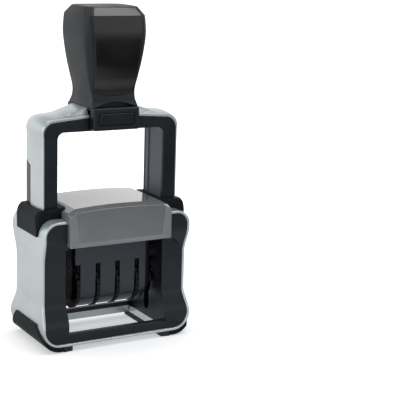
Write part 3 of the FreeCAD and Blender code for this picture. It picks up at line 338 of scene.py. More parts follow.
# %% One recipe for a finish
def make_finish(name, dark, light, rough, cloud_mm=14.0, spot_mm=0.3, height_mm=0.008, stretch=(1, 1, 1), **shader):
    """A Principled material: colour from dark to light, roughness between the two given, relief from the spots."""
    material = bpy.data.materials.new(name)
    tree = fresh_tree(material)
    place = add(tree, "TexCoord").outputs["Object"]
    drawn = add(tree, "Mapping", {"Vector": place, "Scale": stretch})
    cloud = add(tree, "TexNoise", {"Vector": place, "Scale": 1 / (cloud_mm * MM)})
    spots = add(tree, "TexNoise", {"Vector": drawn, "Scale": 1 / (spot_mm * MM), "Detail": 3.0})
    share = add(tree, "MapRange", {"Value": cloud, "From Min": 0.35, "From Max": 0.65})
    tone = add(tree, "Mix", {"Factor": share, "A": linear(dark), "B": linear(light)}, data_type="RGBA")
    dull = add(tree, "MapRange", {"Value": share, "To Min": rough[0], "To Max": rough[1]})
    relief = add(tree, "Bump", {"Height": spots, "Distance": height_mm * MM, "Strength": 0.5})
    settings = {"Base Color": tone, "Roughness": dull, "Normal": relief}
    settings.update({key.replace("_", " "): value for key, value in shader.items()})
    add(tree, "OutputMaterial", {"Surface": add(tree, "BsdfPrincipled", settings)})
    return material

# %% [markdown]
# The band and the bow wear a satin lacquer with faint metal flake, 0.4 mm across: bright
# and low in contrast, with a soft streak where it curves. The rails are plated, so they
# are sharper. Springs and pins are drawn steel, with lines along them.

# %% Silver and bare metal
SILVER = make_finish("satin silver lacquer", "#C6CED0", "#D1D9DB", (0.25, 0.33), 20.0, 0.4, 0.004,
                     Metallic=0.65, Coat_Weight=0.2, Coat_Roughness=0.15)
BRIGHT = make_finish("bright plated strip", "#D4D7DA", "#E6E8EA", (0.14, 0.22), 8.0, 0.8, 0.003, (1, 0.25, 1),
                     Metallic=1.0)
STEEL = make_finish("drawn steel", "#8E9296", "#B4B8BC", (0.2, 0.36), 6.0, 0.5, 0.006, (1, 1, 0.1), Metallic=1.0)

# %% [markdown]
# The black parts are ABS. What the eye reads as charcoal is the white room mirrored in a
# half-gloss surface, so the base colours are very dark and the roughness sets how soft
# that mirror is. The frames and trims are finely textured, the collars and shoes are
# duller, and the grip is soft to the touch. The handle's panels, the cover and the date
# housing come from polished tools, with a slow ripple from shrinkage. The borders of the
# label field are frosted, so they look lighter than the field between them.

# %% Plastics
BLACK = make_finish("half-gloss black ABS", "#161C23", "#1C2229", (0.3, 0.38), 16.0, 0.25, 0.004, IOR=1.4)
TRIM = make_finish("fine textured black ABS", "#151B21", "#1A2027", (0.26, 0.33), 16.0, 0.2, 0.003, IOR=1.4)
DULL = make_finish("dull black ABS", "#0E1317", "#14191E", (0.5, 0.6), 12.0, 0.3, 0.006, IOR=1.25)
CORE = make_finish("charcoal ABS", "#6A7078", "#727880", (0.42, 0.5), 12.0, 0.3, 0.006, IOR=1.4)
GRIP = make_finish("soft touch black grip", "#141A1F", "#1A2026", (0.4, 0.5), 12.0, 0.3, 0.01, IOR=1.4)
GLOSS = make_finish("polished black ABS", "#030507", "#06080B", (0.2, 0.25), 10.0, 9.0, 0.01, IOR=1.53)
COVER = make_finish("polished grey ABS", "#7A7C7E", "#7F8183", (0.14, 0.19), 14.0, 9.0, 0.01, IOR=1.5,
                    Coat_Weight=1.0, Coat_Roughness=0.06)
FROST = make_finish("frosted grey ABS", "#8C8E90", "#929496", (0.34, 0.4), 14.0, 0.3, 0.004, IOR=1.5)
SLATE = make_finish("slate polycarbonate", "#232A35", "#2A313D", (0.2, 0.27), 12.0, 6.0, 0.008, IOR=1.53)
# The wheels are black acetal, and this near black is also painted shade: it stands for the shade in the housing's
# slots and at its ends.
WHEELS_AND_PAINTED_SHADE = make_finish("black acetal wheels and painted shade", "#020303", "#040506", (0.5, 0.6), 6.0, 0.3, 0.004, IOR=1.35)
TRAY = make_finish("cartridge polypropylene", "#121417", "#191C20", (0.34, 0.44), 10.0, 0.3, 0.006)

# %% [markdown]
# Rubber is dark and dull with a dusty bloom. The felt's inked fibres are long noise
# spots, and a little sheen shows their tips.

# %% Rubber and felt
RUBBER = make_finish("stamp rubber", "#26282B", "#34363A", (0.65, 0.8), 5.0, 0.8, 0.03, Sheen_Weight=0.1)
PAD = make_finish("foot rubber", "#141517", "#1E1F22", (0.6, 0.75), 5.0, 0.8, 0.03, Sheen_Weight=0.1)
FELT = make_finish("inked felt", "#0B0C10", "#1A1C24", (0.8, 0.9), 4.0, 0.5, 0.12, (1, 3, 1), Sheen_Weight=0.4)
print("finishes:", len(bpy.data.materials))

# %% [markdown]
# Every CAD node gets the finish of its slot first. Nodes that are already right, such as
# plain pins, keep their CAD shape, and only this changes them.

# %% Dress the CAD nodes
SLOT_FINISH = {"silver": SILVER, "black": BLACK, "gloss_black": GLOSS, "grey_cover": COVER, "slate": SLATE,
               "rubber": RUBBER, "tray": TRAY, "felt": FELT, "steel": STEEL, "bright": BRIGHT}
for node, thing in frame["nodes"].items():
    thing.data.materials.clear()
    thing.data.materials.append(SLOT_FINISH[slot_of_node[node]])
print("slots:", sorted(set(slot_of_node.values())))

# %% [markdown]
# **The base band.** One sheet of silver runs from a curled shoulder down the side, round
# the lower corner, along the floor and up the other side. So it is a strip: the path is
# the front view, and the strip's half width at each height is the hourglass of the side
# view. Under the collars the shoulder is two narrow tongues, and a thin lip stands along
# the print opening in front and behind.

# %% Silver base band
FOOT_X, SHOULDER_X = WAIST_X + FOOT_FLARE[0], WAIST_X + SHOULDER_FLARE[0]
FOOT_CENTRE = (FOOT_X - FOOT_CORNER, SHELL_LIFT + FOOT_CORNER)
CURL_CENTRE = (SHOULDER_X - SHOULDER_CORNER, SHOULDER_Z - SHOULDER_CORNER)
FLOOR_END, FLOOR_RIM, LIP_TOP = 22.0, 14.6, 5.6


def band_strip(path, low, high):
    """Silver sheet along a path in the front view, from y = low to y = high, with a soft rim."""
    return strip(path, path_normals(path), SHELL_WALL, low, high, 0.5, 4)


def make_base_band():
    """Sides with their lower corners, four tongues, and the floor and its lip in front and behind."""
    z = np.linspace(CURL_CENTRE[1], FOOT_CENTRE[1], 44)[:-1]
    side = join([np.stack([side_at(z), z], axis=1), arc(FOOT_CENTRE, FOOT_CORNER, 0, -90, 14),
                 [[FLOOR_END, SHELL_LIFT]]])
    curl = join([[[CURL_X, SHOULDER_Z]], arc(CURL_CENTRE, SHOULDER_CORNER, 90, 0, 12)])
    floor = np.array([[FLOOR_END, SHELL_LIFT], [0.0, SHELL_LIFT], [-FLOOR_END, SHELL_LIFT]])
    parts = both_sides(band_strip(side, -front_at(side[:, 1]), front_at(side[:, 1])))
    tongue = band_strip(curl, -front_at(curl[:, 1]), -COLLAR_Y)
    parts += [turned for part in both_sides(tongue) for turned in both_sides(part, axis=1)]
    parts += both_sides(band_strip(floor, -float(front_at(SHELL_LIFT)), -FLOOR_RIM), axis=1)
    lip = rectangle(-FLOOR_RIM, -FLOOR_RIM + 0.1, SHELL_LIFT + 0.02, LIP_TOP)
    parts += both_sides(slab("yz", lip, -FLOOR_END, FLOOR_END, 0.01), axis=1)
    make_piece("silver_base_band", parts, SILVER, "base_shell")


make_base_band()

# %% [markdown]
# **The black frames.** Behind each silver rim stands a moulded frame: two towers, the
# shoulder blocks above them and a sill below. A tower is a tube of sections stacked
# upward. The front's depth is a height field, so the wedge under the block and the
# set-back below the toe line are steps in it.

# %% Towers
FRAME_INSET, TOWER_SOFT, TOWER_BACK = 0.35, 0.9, -10.2
WEDGE_HIGH, WEDGE_LOW, WEDGE_X = 44.3, 38.0, (28.3, 35.1)
FRAME_LOW, TOE_HIGH, TOE_LOW, TOE_STEP, TOE_RUN = 3.62, 7.5, 5.2, 0.8, 9.2


def tower_depth(x, z):
    """How far the front face stands forward: the hourglass, no deeper than the waist up to the slanting line
    under the block, and set back by a step below the toe line."""
    full = front_at(z) - FRAME_INSET
    share = np.clip((x - WEDGE_X[0]) / (WEDGE_X[1] - WEDGE_X[0]), 0, 1)
    above = ease((z - WEDGE_HIGH + share * (WEDGE_HIGH - WEDGE_LOW)) / 0.5 + 0.5)
    waist = np.minimum(full, WAIST_Y - FRAME_INSET)
    cut = np.where(z > 36, waist + (full - waist) * above, full)
    toe = TOE_HIGH - np.clip((x - CHEEK_IN) / TOE_RUN, 0, 1) * (TOE_HIGH - TOE_LOW)
    return cut - TOE_STEP * (1 - ease((z - toe) / 0.4 + 0.5))


def tower_outer(z):
    """Inner face of the silver band at height z, which the tower touches: lower corner, side, curl."""
    radius, curl = FOOT_CORNER - SHELL_WALL, SHOULDER_CORNER - SHELL_WALL
    drop = np.clip(FOOT_CENTRE[1] - z, 0, radius)
    climb = np.clip(z - CURL_CENTRE[1], 0, curl)
    foot = FOOT_CENTRE[0] + np.sqrt(radius ** 2 - drop ** 2)
    shoulder = CURL_CENTRE[0] + np.sqrt(curl ** 2 - climb ** 2)
    side = np.where(climb > 0, shoulder, side_at(z) - SHELL_WALL)
    return np.where(drop > 0, foot, side) - 0.02


def make_tower():
    """Each row is one height: up the inner face, round the corner and across the front at -tower_depth(x, z)."""
    z = np.unique(join([np.linspace(*span) for span in (
        (FRAME_LOW, 8.4, 34), (8.4, 37, 50), (37, 45, 66), (45, 56.4, 22))]))[:, None]
    outer = tower_outer(z)
    face_x = CHEEK_IN + TOWER_SOFT + np.linspace(0, 1, 26) * (outer - 0.3 - CHEEK_IN - TOWER_SOFT)
    face_y = -tower_depth(face_x, z)
    turn = np.linspace(0, math.pi / 2, 7)[:-1]
    corner_x = CHEEK_IN + TOWER_SOFT * (1 - np.cos(turn)) + 0 * z
    corner_y = face_y[:, :1] + TOWER_SOFT * (1 - np.sin(turn))
    end = face_y[:, -1:]
    x = join([0 * z + CHEEK_IN, corner_x, face_x, outer - 0.08, outer, outer], axis=1)
    y = join([0 * z + TOWER_BACK, corner_y, face_y, end + 0.1, end + 0.35, 0 * z + TOWER_BACK], axis=1)
    return skin(to_space("xy", x, y, z))


SILL_FRONT, SILL_BACK, SILL_X = -17.7, -FLOOR_RIM - 0.02, 29.5
sill = round_outline([(SILL_FRONT, FRAME_LOW), (SILL_BACK, FRAME_LOW, 0.2), (SILL_BACK, TOE_HIGH, 0.35),
                      (SILL_FRONT, TOE_HIGH, 0.7)])
front_parts = both_sides(make_tower()) + [slab("yz", sill, -SILL_X, SILL_X, 0.05)]
make_piece("front_tower_frame", front_parts, BLACK, "front_frame")
make_piece("rear_tower_frame", [mirrored(part, 1) for part in front_parts], BLACK, "rear_frame")

# %% [markdown]
# **Collars.** A collar wraps the shoulder and guides the leg. It is a stack of rounded
# rectangles: up the outside, over the sloping top edge and down into the hole.

# %% Collars
COLLAR_TOP, COLLAR_FALL, COLLAR_FLAT, TAB_X = 62.4, 0.9, (22.2, 34.4), 34.9


def make_collar():
    """Rows of rounded rectangles (x from, x to, half depth, corner radius). The lowest three reach further down
    where x is on the tab, and the rows of the top fall with x."""
    sides = [(25.0, 35.80, 10.60, 0.5), (24.7, 35.86, 11.05, 0.6), (24.6, 35.90, 11.20, 0.7),
             (24.6, 36.10, 11.20, 1.0), (24.4, 36.18, 11.20, 1.5), (24.0, 36.18, 11.20, 1.8),
             (23.3, 36.00, 11.20, 1.9), (22.5, 35.45, 11.20, 1.9), (22.0, 34.95, 11.12, 1.9),
             (21.95, 34.80, 10.95, 1.8), (22.1, 34.60, 10.65, 1.7), (22.4, 34.30, 10.30, 1.5),
             (24.7, 32.3, 9.85, 0.5), (24.95, 32.05, 9.65, 0.4), (25.0, 31.95, 9.56, 0.35),
             (25.0, 31.95, 9.55, 0.35), (25.0, 31.95, 9.55, 0.35)]
    flat = np.stack([rectangle(x0, x1, -y, y, radius, 5) for x0, x1, y, radius in sides])
    x = flat[..., 0]
    low = np.interp(x[:3], [26.0, TAB_X - 0.3, TAB_X], [54.0, 52.3, 50.4]) + np.array([0.0, 0.15, 0.7])[:, None]
    level = np.array([56.4, 57.5, 58.3, 59.2, 60.3])[:, None] + 0 * x[3:8]
    over = COLLAR_TOP - np.interp(x[8:15], COLLAR_FLAT, [0, COLLAR_FALL])
    over -= np.array([0.75, 0.32, 0.08, 0.0, 0.0, 0.1, 0.4])[:, None]
    hole = np.array([56.0, 52.2])[:, None] + 0 * x[15:]
    return skin(to_space("xy", x, flat[..., 1], join([low, level, over, hole])), caps=False)


each_side("{}_guide_collar", make_collar(), DULL, "{}_collar")

# %% [markdown]
# **Shoes and rails.** A shoe is a thin black strip over the same path as the band, 0.7
# mm further out, with slanting ends. The runner under it is rubber. A bright rail lies
# on the ledge at each side of the print opening and hangs over the ledge's edge.

# %% Shoes, runners and bright rails
SHOE_WALL, SHOE_LOW, SHOE_TOP, SHOE_IN = 0.7, 0.4, 12.0, 26.0


def make_shoe():
    """A strip round the lower corner, with slanting ends; its wall is the distance between two paired paths."""
    outer = FOOT_CORNER + SHOE_WALL
    outside = join([[[FOOT_X + SHOE_WALL, SHOE_TOP], [FOOT_X + SHOE_WALL, 10.5]],
                    arc((FOOT_CENTRE[0], SHOE_LOW + outer), outer, 0, -90, 16), [[SHOE_IN, SHOE_LOW]]])
    inside = join([[[side_at(z) + 0.01, z] for z in (SHOE_TOP, 10.6)],
                   arc(FOOT_CENTRE, FOOT_CORNER + 0.01, 0, -90, 16), [[SHOE_IN, SHELL_LIFT]]])
    half = np.interp(outside[:, 1], [3.6, 6.4, SHOE_TOP], [18.8, 16.0, 11.3])
    return strip(outside, unit(outside - inside), np.linalg.norm(outside - inside, axis=1), -half, half, 0.3)


each_side("{}_shoe", make_shoe(), DULL, "{}_foot")
LEDGE_X, LEDGE_TOP, RAIL_Y = 21.99, 5.2, 13.7
rail = round_outline([(LEDGE_X - 0.11, 2.45), (LEDGE_X, 2.45), (LEDGE_X, LEDGE_TOP), (23.28, LEDGE_TOP),
                      (23.28, LEDGE_TOP + 0.3, 0.1), (LEDGE_X - 0.11, LEDGE_TOP + 0.3, 0.2)])
each_side("{}_bright_rail", slab("xz", rail, -RAIL_Y, RAIL_Y, 0.02), BRIGHT, "{}_sight_rail")
runner = round_outline([(21.6, -18.0, 0.4), (25.98, -18.7, 0.4), (25.98, 18.7, 0.4), (21.6, 18.7, 0.4)])
make_piece("rubber_runners", both_sides(slab("xy", runner, 0.0, 2.38, 0.15, low_rim=0.4)), PAD, "foot_pads")

# %% [markdown]
# **The cover.** One closed form is made first, as sections from front to rear: upright
# sides, slanted flanks and a low arch. Its cavity is then carved out with a Boolean,
# which gives the wall an even edge underneath.

# %% Carving
def carve(piece, parts):
    """Takes closed surfaces away from a piece, and leaves nothing of the cutter behind."""
    mesh = closed_mesh("cutter", parts)
    cutter = link_object("cutter", mesh)
    boolean = piece.modifiers.new("carve", "BOOLEAN")
    piece.modifiers.move(len(piece.modifiers) - 1, 0)
    boolean.object, boolean.operation, boolean.solver = cutter, "DIFFERENCE", "EXACT"
    with bpy.context.temp_override(object=piece, active_object=piece, selected_objects=[piece]):
        bpy.ops.object.modifier_apply(modifier=boolean.name)
    bpy.data.objects.remove(cutter)
    bpy.data.meshes.remove(mesh)
    piece.data.set_sharp_from_angle(angle=math.radians(38))
    print(f"{piece.name} carved: {len(piece.data.polygons)} faces")

# %% [markdown]
# The sections of the cover differ only in the height of their roof, which follows the
# side view: a steep brow in front, a nearly level roof and a slope to the rear.

# %% Cover
COVER_X, COVER_LOW, COVER_FRONT, COVER_REAR, COVER_WALL = 24.3, 46.4, -20.4, 17.5, 1.2
BROW_Z, ROOF_Z, TAIL_Z, ARCH_RISE = 61.5, 62.7, 59.0, 0.9
FLANK_X, FLANK_Z, LABEL_DEPTH = 3.5, 1.9, 0.35


def cover_section(top):
    """Front view of the cover at one place: upright sides, slanted flanks and an arch 0.9 mm high."""
    top_x = COVER_X - FLANK_X
    x = np.linspace(top_x - 0.6, 0.6 - top_x, 25)
    arch = np.stack([x, top + ARCH_RISE * (1 - (x / top_x) ** 2)], axis=1).tolist()
    return round_outline([
        (-COVER_X, COVER_LOW, 0.25), (COVER_X, COVER_LOW, 0.25), (COVER_X, top - FLANK_Z, 1.2), (top_x, top, 0.45),
        *arch, (-top_x, top, 0.45), (-COVER_X, top - FLANK_Z, 1.2),
    ], 4)


def make_cover():
    """Sections from front to rear; their height follows the side view, and both ends have a rounded rim."""
    front = COVER_FRONT + LABEL_DEPTH
    profile = round_outline([
        (front, 40.0), (front, BROW_Z), (-17.0, ROOF_Z, 0.9), (13.5, ROOF_Z, 1.2), (COVER_REAR, TAIL_Z),
        (COVER_REAR, 40.0),
    ])[1:-1]
    along = np.unique(join([profile[:, 0], np.linspace(front, COVER_REAR, 12)]))
    places = join([[front, front, front + 0.22], along[1:-1], [COVER_REAR - 0.22, COVER_REAR, COVER_REAR]])
    places[[1, -2]] += [0.065, -0.065]
    insets = join([[0.22, 0.065], np.zeros(len(places) - 4), [0.065, 0.22]])
    tops = np.interp(places, profile[:, 0], profile[:, 1])
    body = skin(np.stack([to_space("xz", *inset_outline(cover_section(top), inset).T, y)
                          for y, top, inset in zip(places, tops, insets)]))
    cover = make_piece("grey_pad_cover", [body], COVER, "pad_cover")
    inner = COVER_X - COVER_WALL
    for corners, start, end, rim in (
            ([(inner, 40.0), (inner, 54.9, 0.6), (inner - 2.7, 58.2, 0.6)], -19.2, 8.5, 0.2),
            ([(inner, 40.0), (inner, 53.1, 0.2), (21.9, 53.1, 0.2), (21.9, 55.3, 0.2)], 8.2, 24.0, 0.05)):
        carve(cover, [slab("xz", round_outline(with_mirror(corners)), start, end, rim)])


make_cover()

# %% [markdown]
# The label field is what lies between three raised borders, so the borders are the piece
# that is added.

# %% Borders of the label field
def make_label_borders():
    """A U of three borders, proud of the field and bevelled towards it: a band between the cover's edge and the
    field's, whose corners are paired."""
    outer = [(22.0, 60.8), (COVER_X, 59.6, 0.8), (COVER_X, COVER_LOW, 0.5)]
    inner = [(21.34, 60.8), (21.2, 59.6, 0.8), (19.9, 48.3, 0.6)]
    outer, inner = (round_outline(with_mirror(corners), 5)[:, None, :] for corners in (outer, inner))
    share = np.array([0.0, 0.0, 0.08, 0.2, 0.4, 0.97, 1.0])[None, :, None]
    drop = np.array([1.0, 0.3, 0.08, 0.0, 0.0, 0.85, 1.0]) * (LABEL_DEPTH + 0.02)
    flat = outer + (inner - outer) * share
    level = COVER_FRONT + drop + 0 * flat[..., 0]
    return skin(to_space("xz", flat[..., 0], flat[..., 1], level))


make_piece("cover_label_borders", [make_label_borders()], FROST, body="base")

# %% [markdown]
# **The bow.** Seen from the front it is a U turned over, in layers: a silver skin
# outside, black trims in front and behind, and a core between them. The skin is crowned
# by 1 mm, and beside the handle it swells into a saddle.

# %% Silver bow
SKIN_LEG, SKIN_BAR, CROWN = 0.5, 1.4, 1.0
SADDLE_RISE, SADDLE_REACH, GROOVE_AT, GROOVE_DEEP = 3.1, 11.0, 0.84, 0.45


def bow_half_path():
    """Right half of the black part's outer face, from the lower end up to the middle."""
    slope_end = np.array([YOKE_X, BAR_MID_Z])
    corner = round_outline([(LEG_OUT, LEG_FOOT), (LEG_OUT, BAR_END_Z, BAR_CORNER), tuple(slope_end)], 14)
    leg = np.stack([np.full(26, LEG_OUT), np.linspace(LEG_FOOT, corner[1, 1], 26)], axis=1)
    bar = corner[-2] + (slope_end - corner[-2]) * np.linspace(0, 1, 34)[:, None]
    middle = np.array([[5.0, BAR_MID_Z], [0.0, BAR_MID_Z]])
    return join([leg, corner[2:-2], bar, middle])


def make_silver_bow():
    """The skin's rise at share s of its half width is crown x (1 - s^2). By the handle it turns into a flat-topped
    saddle, whose sides fall steeply to a level rim with a fine groove."""
    half = bow_half_path()
    base = join([half, (half * [-1, 1])[-2::-1]])
    out = -path_normals(base)
    on_bar = ease((base[:, 1] - 92.0) / 6.0)
    wall = SKIN_LEG + (SKIN_BAR - SKIN_LEG) * on_bar
    near = (np.clip(1 - (np.abs(base[:, 0]) - YOKE_X) / SADDLE_REACH, 0, 1) * on_bar)[:, None]

    def rise(share):
        away = np.abs(share)
        plateau = ease((GROOVE_AT - away) / 0.1)
        groove = GROOVE_DEEP * ease(1 - np.abs(away - GROOVE_AT) / 0.04) * ease((near - 0.3) / 0.3)
        return CROWN * (1 - share ** 2) * (1 - near) + near * (SADDLE_RISE * plateau - groove)

    edge = np.array([0.73, 0.76, 0.78, 0.8, 0.815, 0.83, 0.84, 0.85, 0.865, 0.88, 0.91])
    across = join([-edge[::-1], np.linspace(-0.7, 0.7, 17), edge]) / 2 + 0.5
    skin_part = strip(base + out * wall[:, None], out, wall, -LEG_Y, LEG_Y, 0.45, 4, rise, across)
    make_piece("silver_bow", [skin_part], SILVER, "bow_shell", crisp=50)


make_silver_bow()

# %% [markdown]
# A black strip is inlaid in each leg's outer side. It has to lie on the crown, so its
# points are worked out from the same curve.

# %% Inlaid side strips
STRIP_Y, STRIP_TOP, STRIP_SLANT, STRIP_DIP = (2.2, LEG_Y - 0.05), 80.8, 1.6, 0.2


def make_side_strip():
    """A black inlay on the crowned silver: x follows the crown, and its border falls away by 0.2 mm."""
    share = np.linspace(0, 1, 19)
    y = STRIP_Y[0] + (STRIP_Y[1] - STRIP_Y[0]) * (share + ease(share)) / 2
    top = STRIP_TOP - STRIP_SLANT * np.clip(1 - (y - STRIP_Y[0]) / 5.0, 0, 1)
    t = join([[0.0, 0.01], np.linspace(0.05, 0.95, 12), [0.985, 0.995, 1.0]])[:, None]
    z = LEG_FOOT + t * (top - LEG_FOOT)
    border = np.minimum(np.minimum(y - STRIP_Y[0], STRIP_Y[1] - y), (1 - t) * 28.0)
    x = LEG_OUT + SKIN_LEG + CROWN * (1 - (y / LEG_Y) ** 2) + 0.08 - STRIP_DIP * (1 - ease(border / 0.35))
    outer = to_space("xy", x, y, z)
    return skin(join([outer, (outer - [0.4, 0, 0])[:, ::-1]], axis=1))


each_side("{}_inlaid_strip", make_side_strip(), BLACK, "{}_side_strip")

# %% [markdown]
# The layers inside the silver are slabs of one outline, so they need only their depths.

# %% Black trims and core
def bow_outline(leg_in=LEG_IN, window=WINDOW_Z):
    """Front view of the bow's black part: a U turned over, whose window has rounded corners."""
    right = [(YOKE_X, BAR_MID_Z - 0.01), (LEG_OUT, BAR_END_Z, BAR_CORNER), (LEG_OUT, 50.0), (leg_in, 50.0),
             (leg_in, window, 3.0)]
    return round_outline(with_mirror(right), 8)


front_trim = slab("xz", bow_outline(), -LEG_Y, -LEG_Y + 1.6, 0.22, low_rim=0.45)
make_piece("front_trim", [front_trim], TRIM, "bow_front_trim")
make_piece("rear_trim", [mirrored(front_trim, 1)], TRIM, "bow_rear_trim")
side_core = slab("xz", bow_outline(), -7.6, -4.9, 0.2)
middle_core = slab("xz", bow_outline(LEG_IN + 0.5, WINDOW_Z + 0.5), -4.88, 4.88, 0.02)
make_piece("bow_leg_core", [side_core, mirrored(side_core, 1), middle_core], CORE, "bow_core")

# %% [markdown]
# **The yoke and its button.** The yoke is an upturned U that grips the bow from above.
# The lock button stands in a pocket in its front cheek. The pocket is carved, because
# only a real hollow gives the dark gap round the button.

# %% Yoke and lock button
POCKET_X, POCKET_LOW, POCKET_TOP, BUTTON_GAP = 8.5, 96.9, 102.4, 0.3
YOKE_GAP, YOKE_ROOF = 0.05, 102.8


def make_yoke():
    """Side view of the U, made as thick as the yoke is wide, less the pocket."""
    cheek = LEG_Y + YOKE_GAP
    outline = round_outline([
        (-YOKE_Y, YOKE_LOW, 0.5), (-YOKE_Y, YOKE_TOP, 0.9), (YOKE_Y, YOKE_TOP, 0.9), (YOKE_Y, YOKE_LOW, 0.5),
        (cheek, YOKE_LOW, 0.3), (cheek, YOKE_ROOF, 0.3), (-cheek, YOKE_ROOF, 0.3), (-cheek, YOKE_LOW, 0.3),
    ], 5)
    yoke = make_piece("handle_yoke_block", [slab("yz", outline, -YOKE_X, YOKE_X, 0.9, 4)], BLACK, "handle_yoke")
    pocket = rectangle(-POCKET_X, POCKET_X, POCKET_LOW, POCKET_TOP, 1.0)
    carve(yoke, [slab("xz", pocket, -20.0, -LEG_Y + 0.02, 0.01)])


make_yoke()
button = rectangle(BUTTON_GAP - POCKET_X, POCKET_X - BUTTON_GAP, POCKET_LOW + BUTTON_GAP, POCKET_TOP - BUTTON_GAP, 0.9)
button = slab("xz", button, -YOKE_Y - 0.3, -YOKE_Y + 1.9, 0.1, low_rim=0.35)
make_piece("lock_push_button", [button], TRIM, "lock_button")

# %% [markdown]
# **The grip.** It is shaped for the palm, so every section is different: flat side faces,
# a glossy panel in front and behind, and a slim bevel between them. A table gives each
# section's corners as shares, and a smooth cubic gives the sections between. A section
# is an octagon with soft corners and slightly crowned faces.

# %% Grip sections
GRIP_SHARES = np.array([
    (0.000, 0.765, 0.762, 0.685, 0.923), (0.073, 0.718, 0.664, 0.664, 0.790), (0.165, 0.732, 0.608, 0.658, 0.748),
    (0.283, 0.812, 0.615, 0.691, 0.860), (0.425, 0.893, 0.685, 0.725, 0.944), (0.590, 0.960, 0.755, 0.765, 0.986),
    (0.743, 1.000, 0.776, 0.799, 1.000), (0.873, 0.993, 0.727, 0.812, 0.965), (0.915, 0.985, 0.700, 0.810, 0.945),
])
CREST_SHARES = np.array([(0.915, 0.985, 0.700, 0.810, 0.945), (0.992, 0.860, 0.460, 0.700, 0.740),
                         (1.000, 0.835, 0.435, 0.675, 0.705)])
CREST_Z = YOKE_TOP + GRIP_HEIGHT * CREST_SHARES[:, 0]
CROWN_SIDE, CROWN_FRONT = 0.35, 0.6
NOTCH_X, NOTCH_RISE, NOTCH_DEPTH = 10.0, 2.4, 3.8
GROOVE_X, GROOVE_Z, GROOVE_HALF, GROOVE_DEPTH = 8.0, 110.4, 0.25, 0.5
PANEL_LOW, PANEL_SAG, PANEL_PROUD, PANEL_DIP = 112.4, 0.9, 0.05, 0.25


def smooth_rows(table, heights):
    """Rows of the table at given heights: the cubic through rows b and c whose slopes are (c - a)/2 and (d - b)/2."""
    padded = join([table[:1], table, table[-1:]])
    place = np.interp(heights, table[:, 0], np.arange(len(table)))
    index = np.clip(place.astype(int), 0, len(table) - 2)
    t = (place - index)[:, None]
    a, b, c, d = (padded[index + k] for k in range(4))
    return b + t / 2 * (c - a + t * (2 * a - 5 * b + 4 * c - d + t * (3 * (b - c) + d - a)))


def grip_at(z):
    """Side x, side y, front x and front y of the grip's corners: smooth up to the crest, straight facets above."""
    share = (np.asarray(z, float) - YOKE_TOP) / GRIP_HEIGHT
    crest = np.stack([np.interp(share, CREST_SHARES[:, 0], column) for column in CREST_SHARES.T], axis=1)
    rows = np.where(share[:, None] > CREST_SHARES[0, 0], crest, smooth_rows(GRIP_SHARES, share))
    return rows[:, 1:] * [GRIP_X, GRIP_Y, GRIP_X, GRIP_Y]


def arch_points(half, level, rise, count=17):
    """A shallow arch from -half to half: level + rise x (1 - (x / half)^2)."""
    x = np.linspace(-half, half, count)
    return np.stack([x, level + rise * (1 - (x / half) ** 2)], axis=1)


def grip_rings(corners):
    """One row of points per section: crowned side, bevel with a soft middle and crowned front, four times over."""
    side_x, side_y, front_x, front_y = (corners[:, k:k + 1] for k in range(4))
    s = np.linspace(0, 1, 7)
    side = np.stack([side_x - CROWN_SIDE * s ** 2, s * (side_y - 0.4)], axis=2)
    front = np.stack([(1 - s) * (front_x - 0.4), front_y - CROWN_FRONT * (1 - s) ** 2], axis=2)
    steps = np.linspace(0, 1, 9)[1:-1][None, :, None]
    push = unit(join([side_x + front_x, side_y + front_y], axis=1))[:, None, :]
    bulge = 0.5 * np.minimum(1, 4 * np.minimum(steps, 1 - steps))
    bevel = side[:, -1:] + (front[:, :1] - side[:, -1:]) * steps + push * bulge
    quarter = join([side, bevel, front], axis=1)
    return join([quarter, (quarter * [-1, 1])[:, -2::-1], (-quarter)[:, 1:], (quarter * [1, -1])[:, -2:0:-1]], axis=1)


def make_grip():
    """The sections as one skin, with a fine ring beside each crease; then the notch and the groove are carved."""
    creases = join([[level - 0.12, level + 0.12] for level in CREST_Z[:2]])
    z = join([np.linspace(YOKE_TOP, creases[0], 80), creases[1:], [CREST_Z[2] - 0.15, CREST_Z[2]]])
    corners = grip_at(z) - np.where(np.arange(len(z)) == len(z) - 1, 0.12, 0.0)[:, None]
    flat = grip_rings(corners)
    body = skin(to_space("xy", flat[..., 0], flat[..., 1], z[:, None]))
    grip = make_piece("pommel_grip", [body], GRIP, "handle_grip", crisp=50)
    notch = join([[[-NOTCH_X, YOKE_TOP - 1]], arch_points(NOTCH_X, YOKE_TOP, NOTCH_RISE), [[NOTCH_X, YOKE_TOP - 1]]])
    groove = arch_points(GROOVE_X, GROOVE_Z, -PANEL_SAG)
    groove = join([groove - [0, GROOVE_HALF], groove[::-1] + [0, GROOVE_HALF]])
    front = grip_at([YOKE_TOP, GROOVE_Z - PANEL_SAG])[:, 3]
    for outline, face, depth in ((notch, front[0], NOTCH_DEPTH), (groove, front[1], GROOVE_DEPTH)):
        carve(grip, both_sides(slab("xz", outline, -20.0, depth - face, 0.02), axis=1))


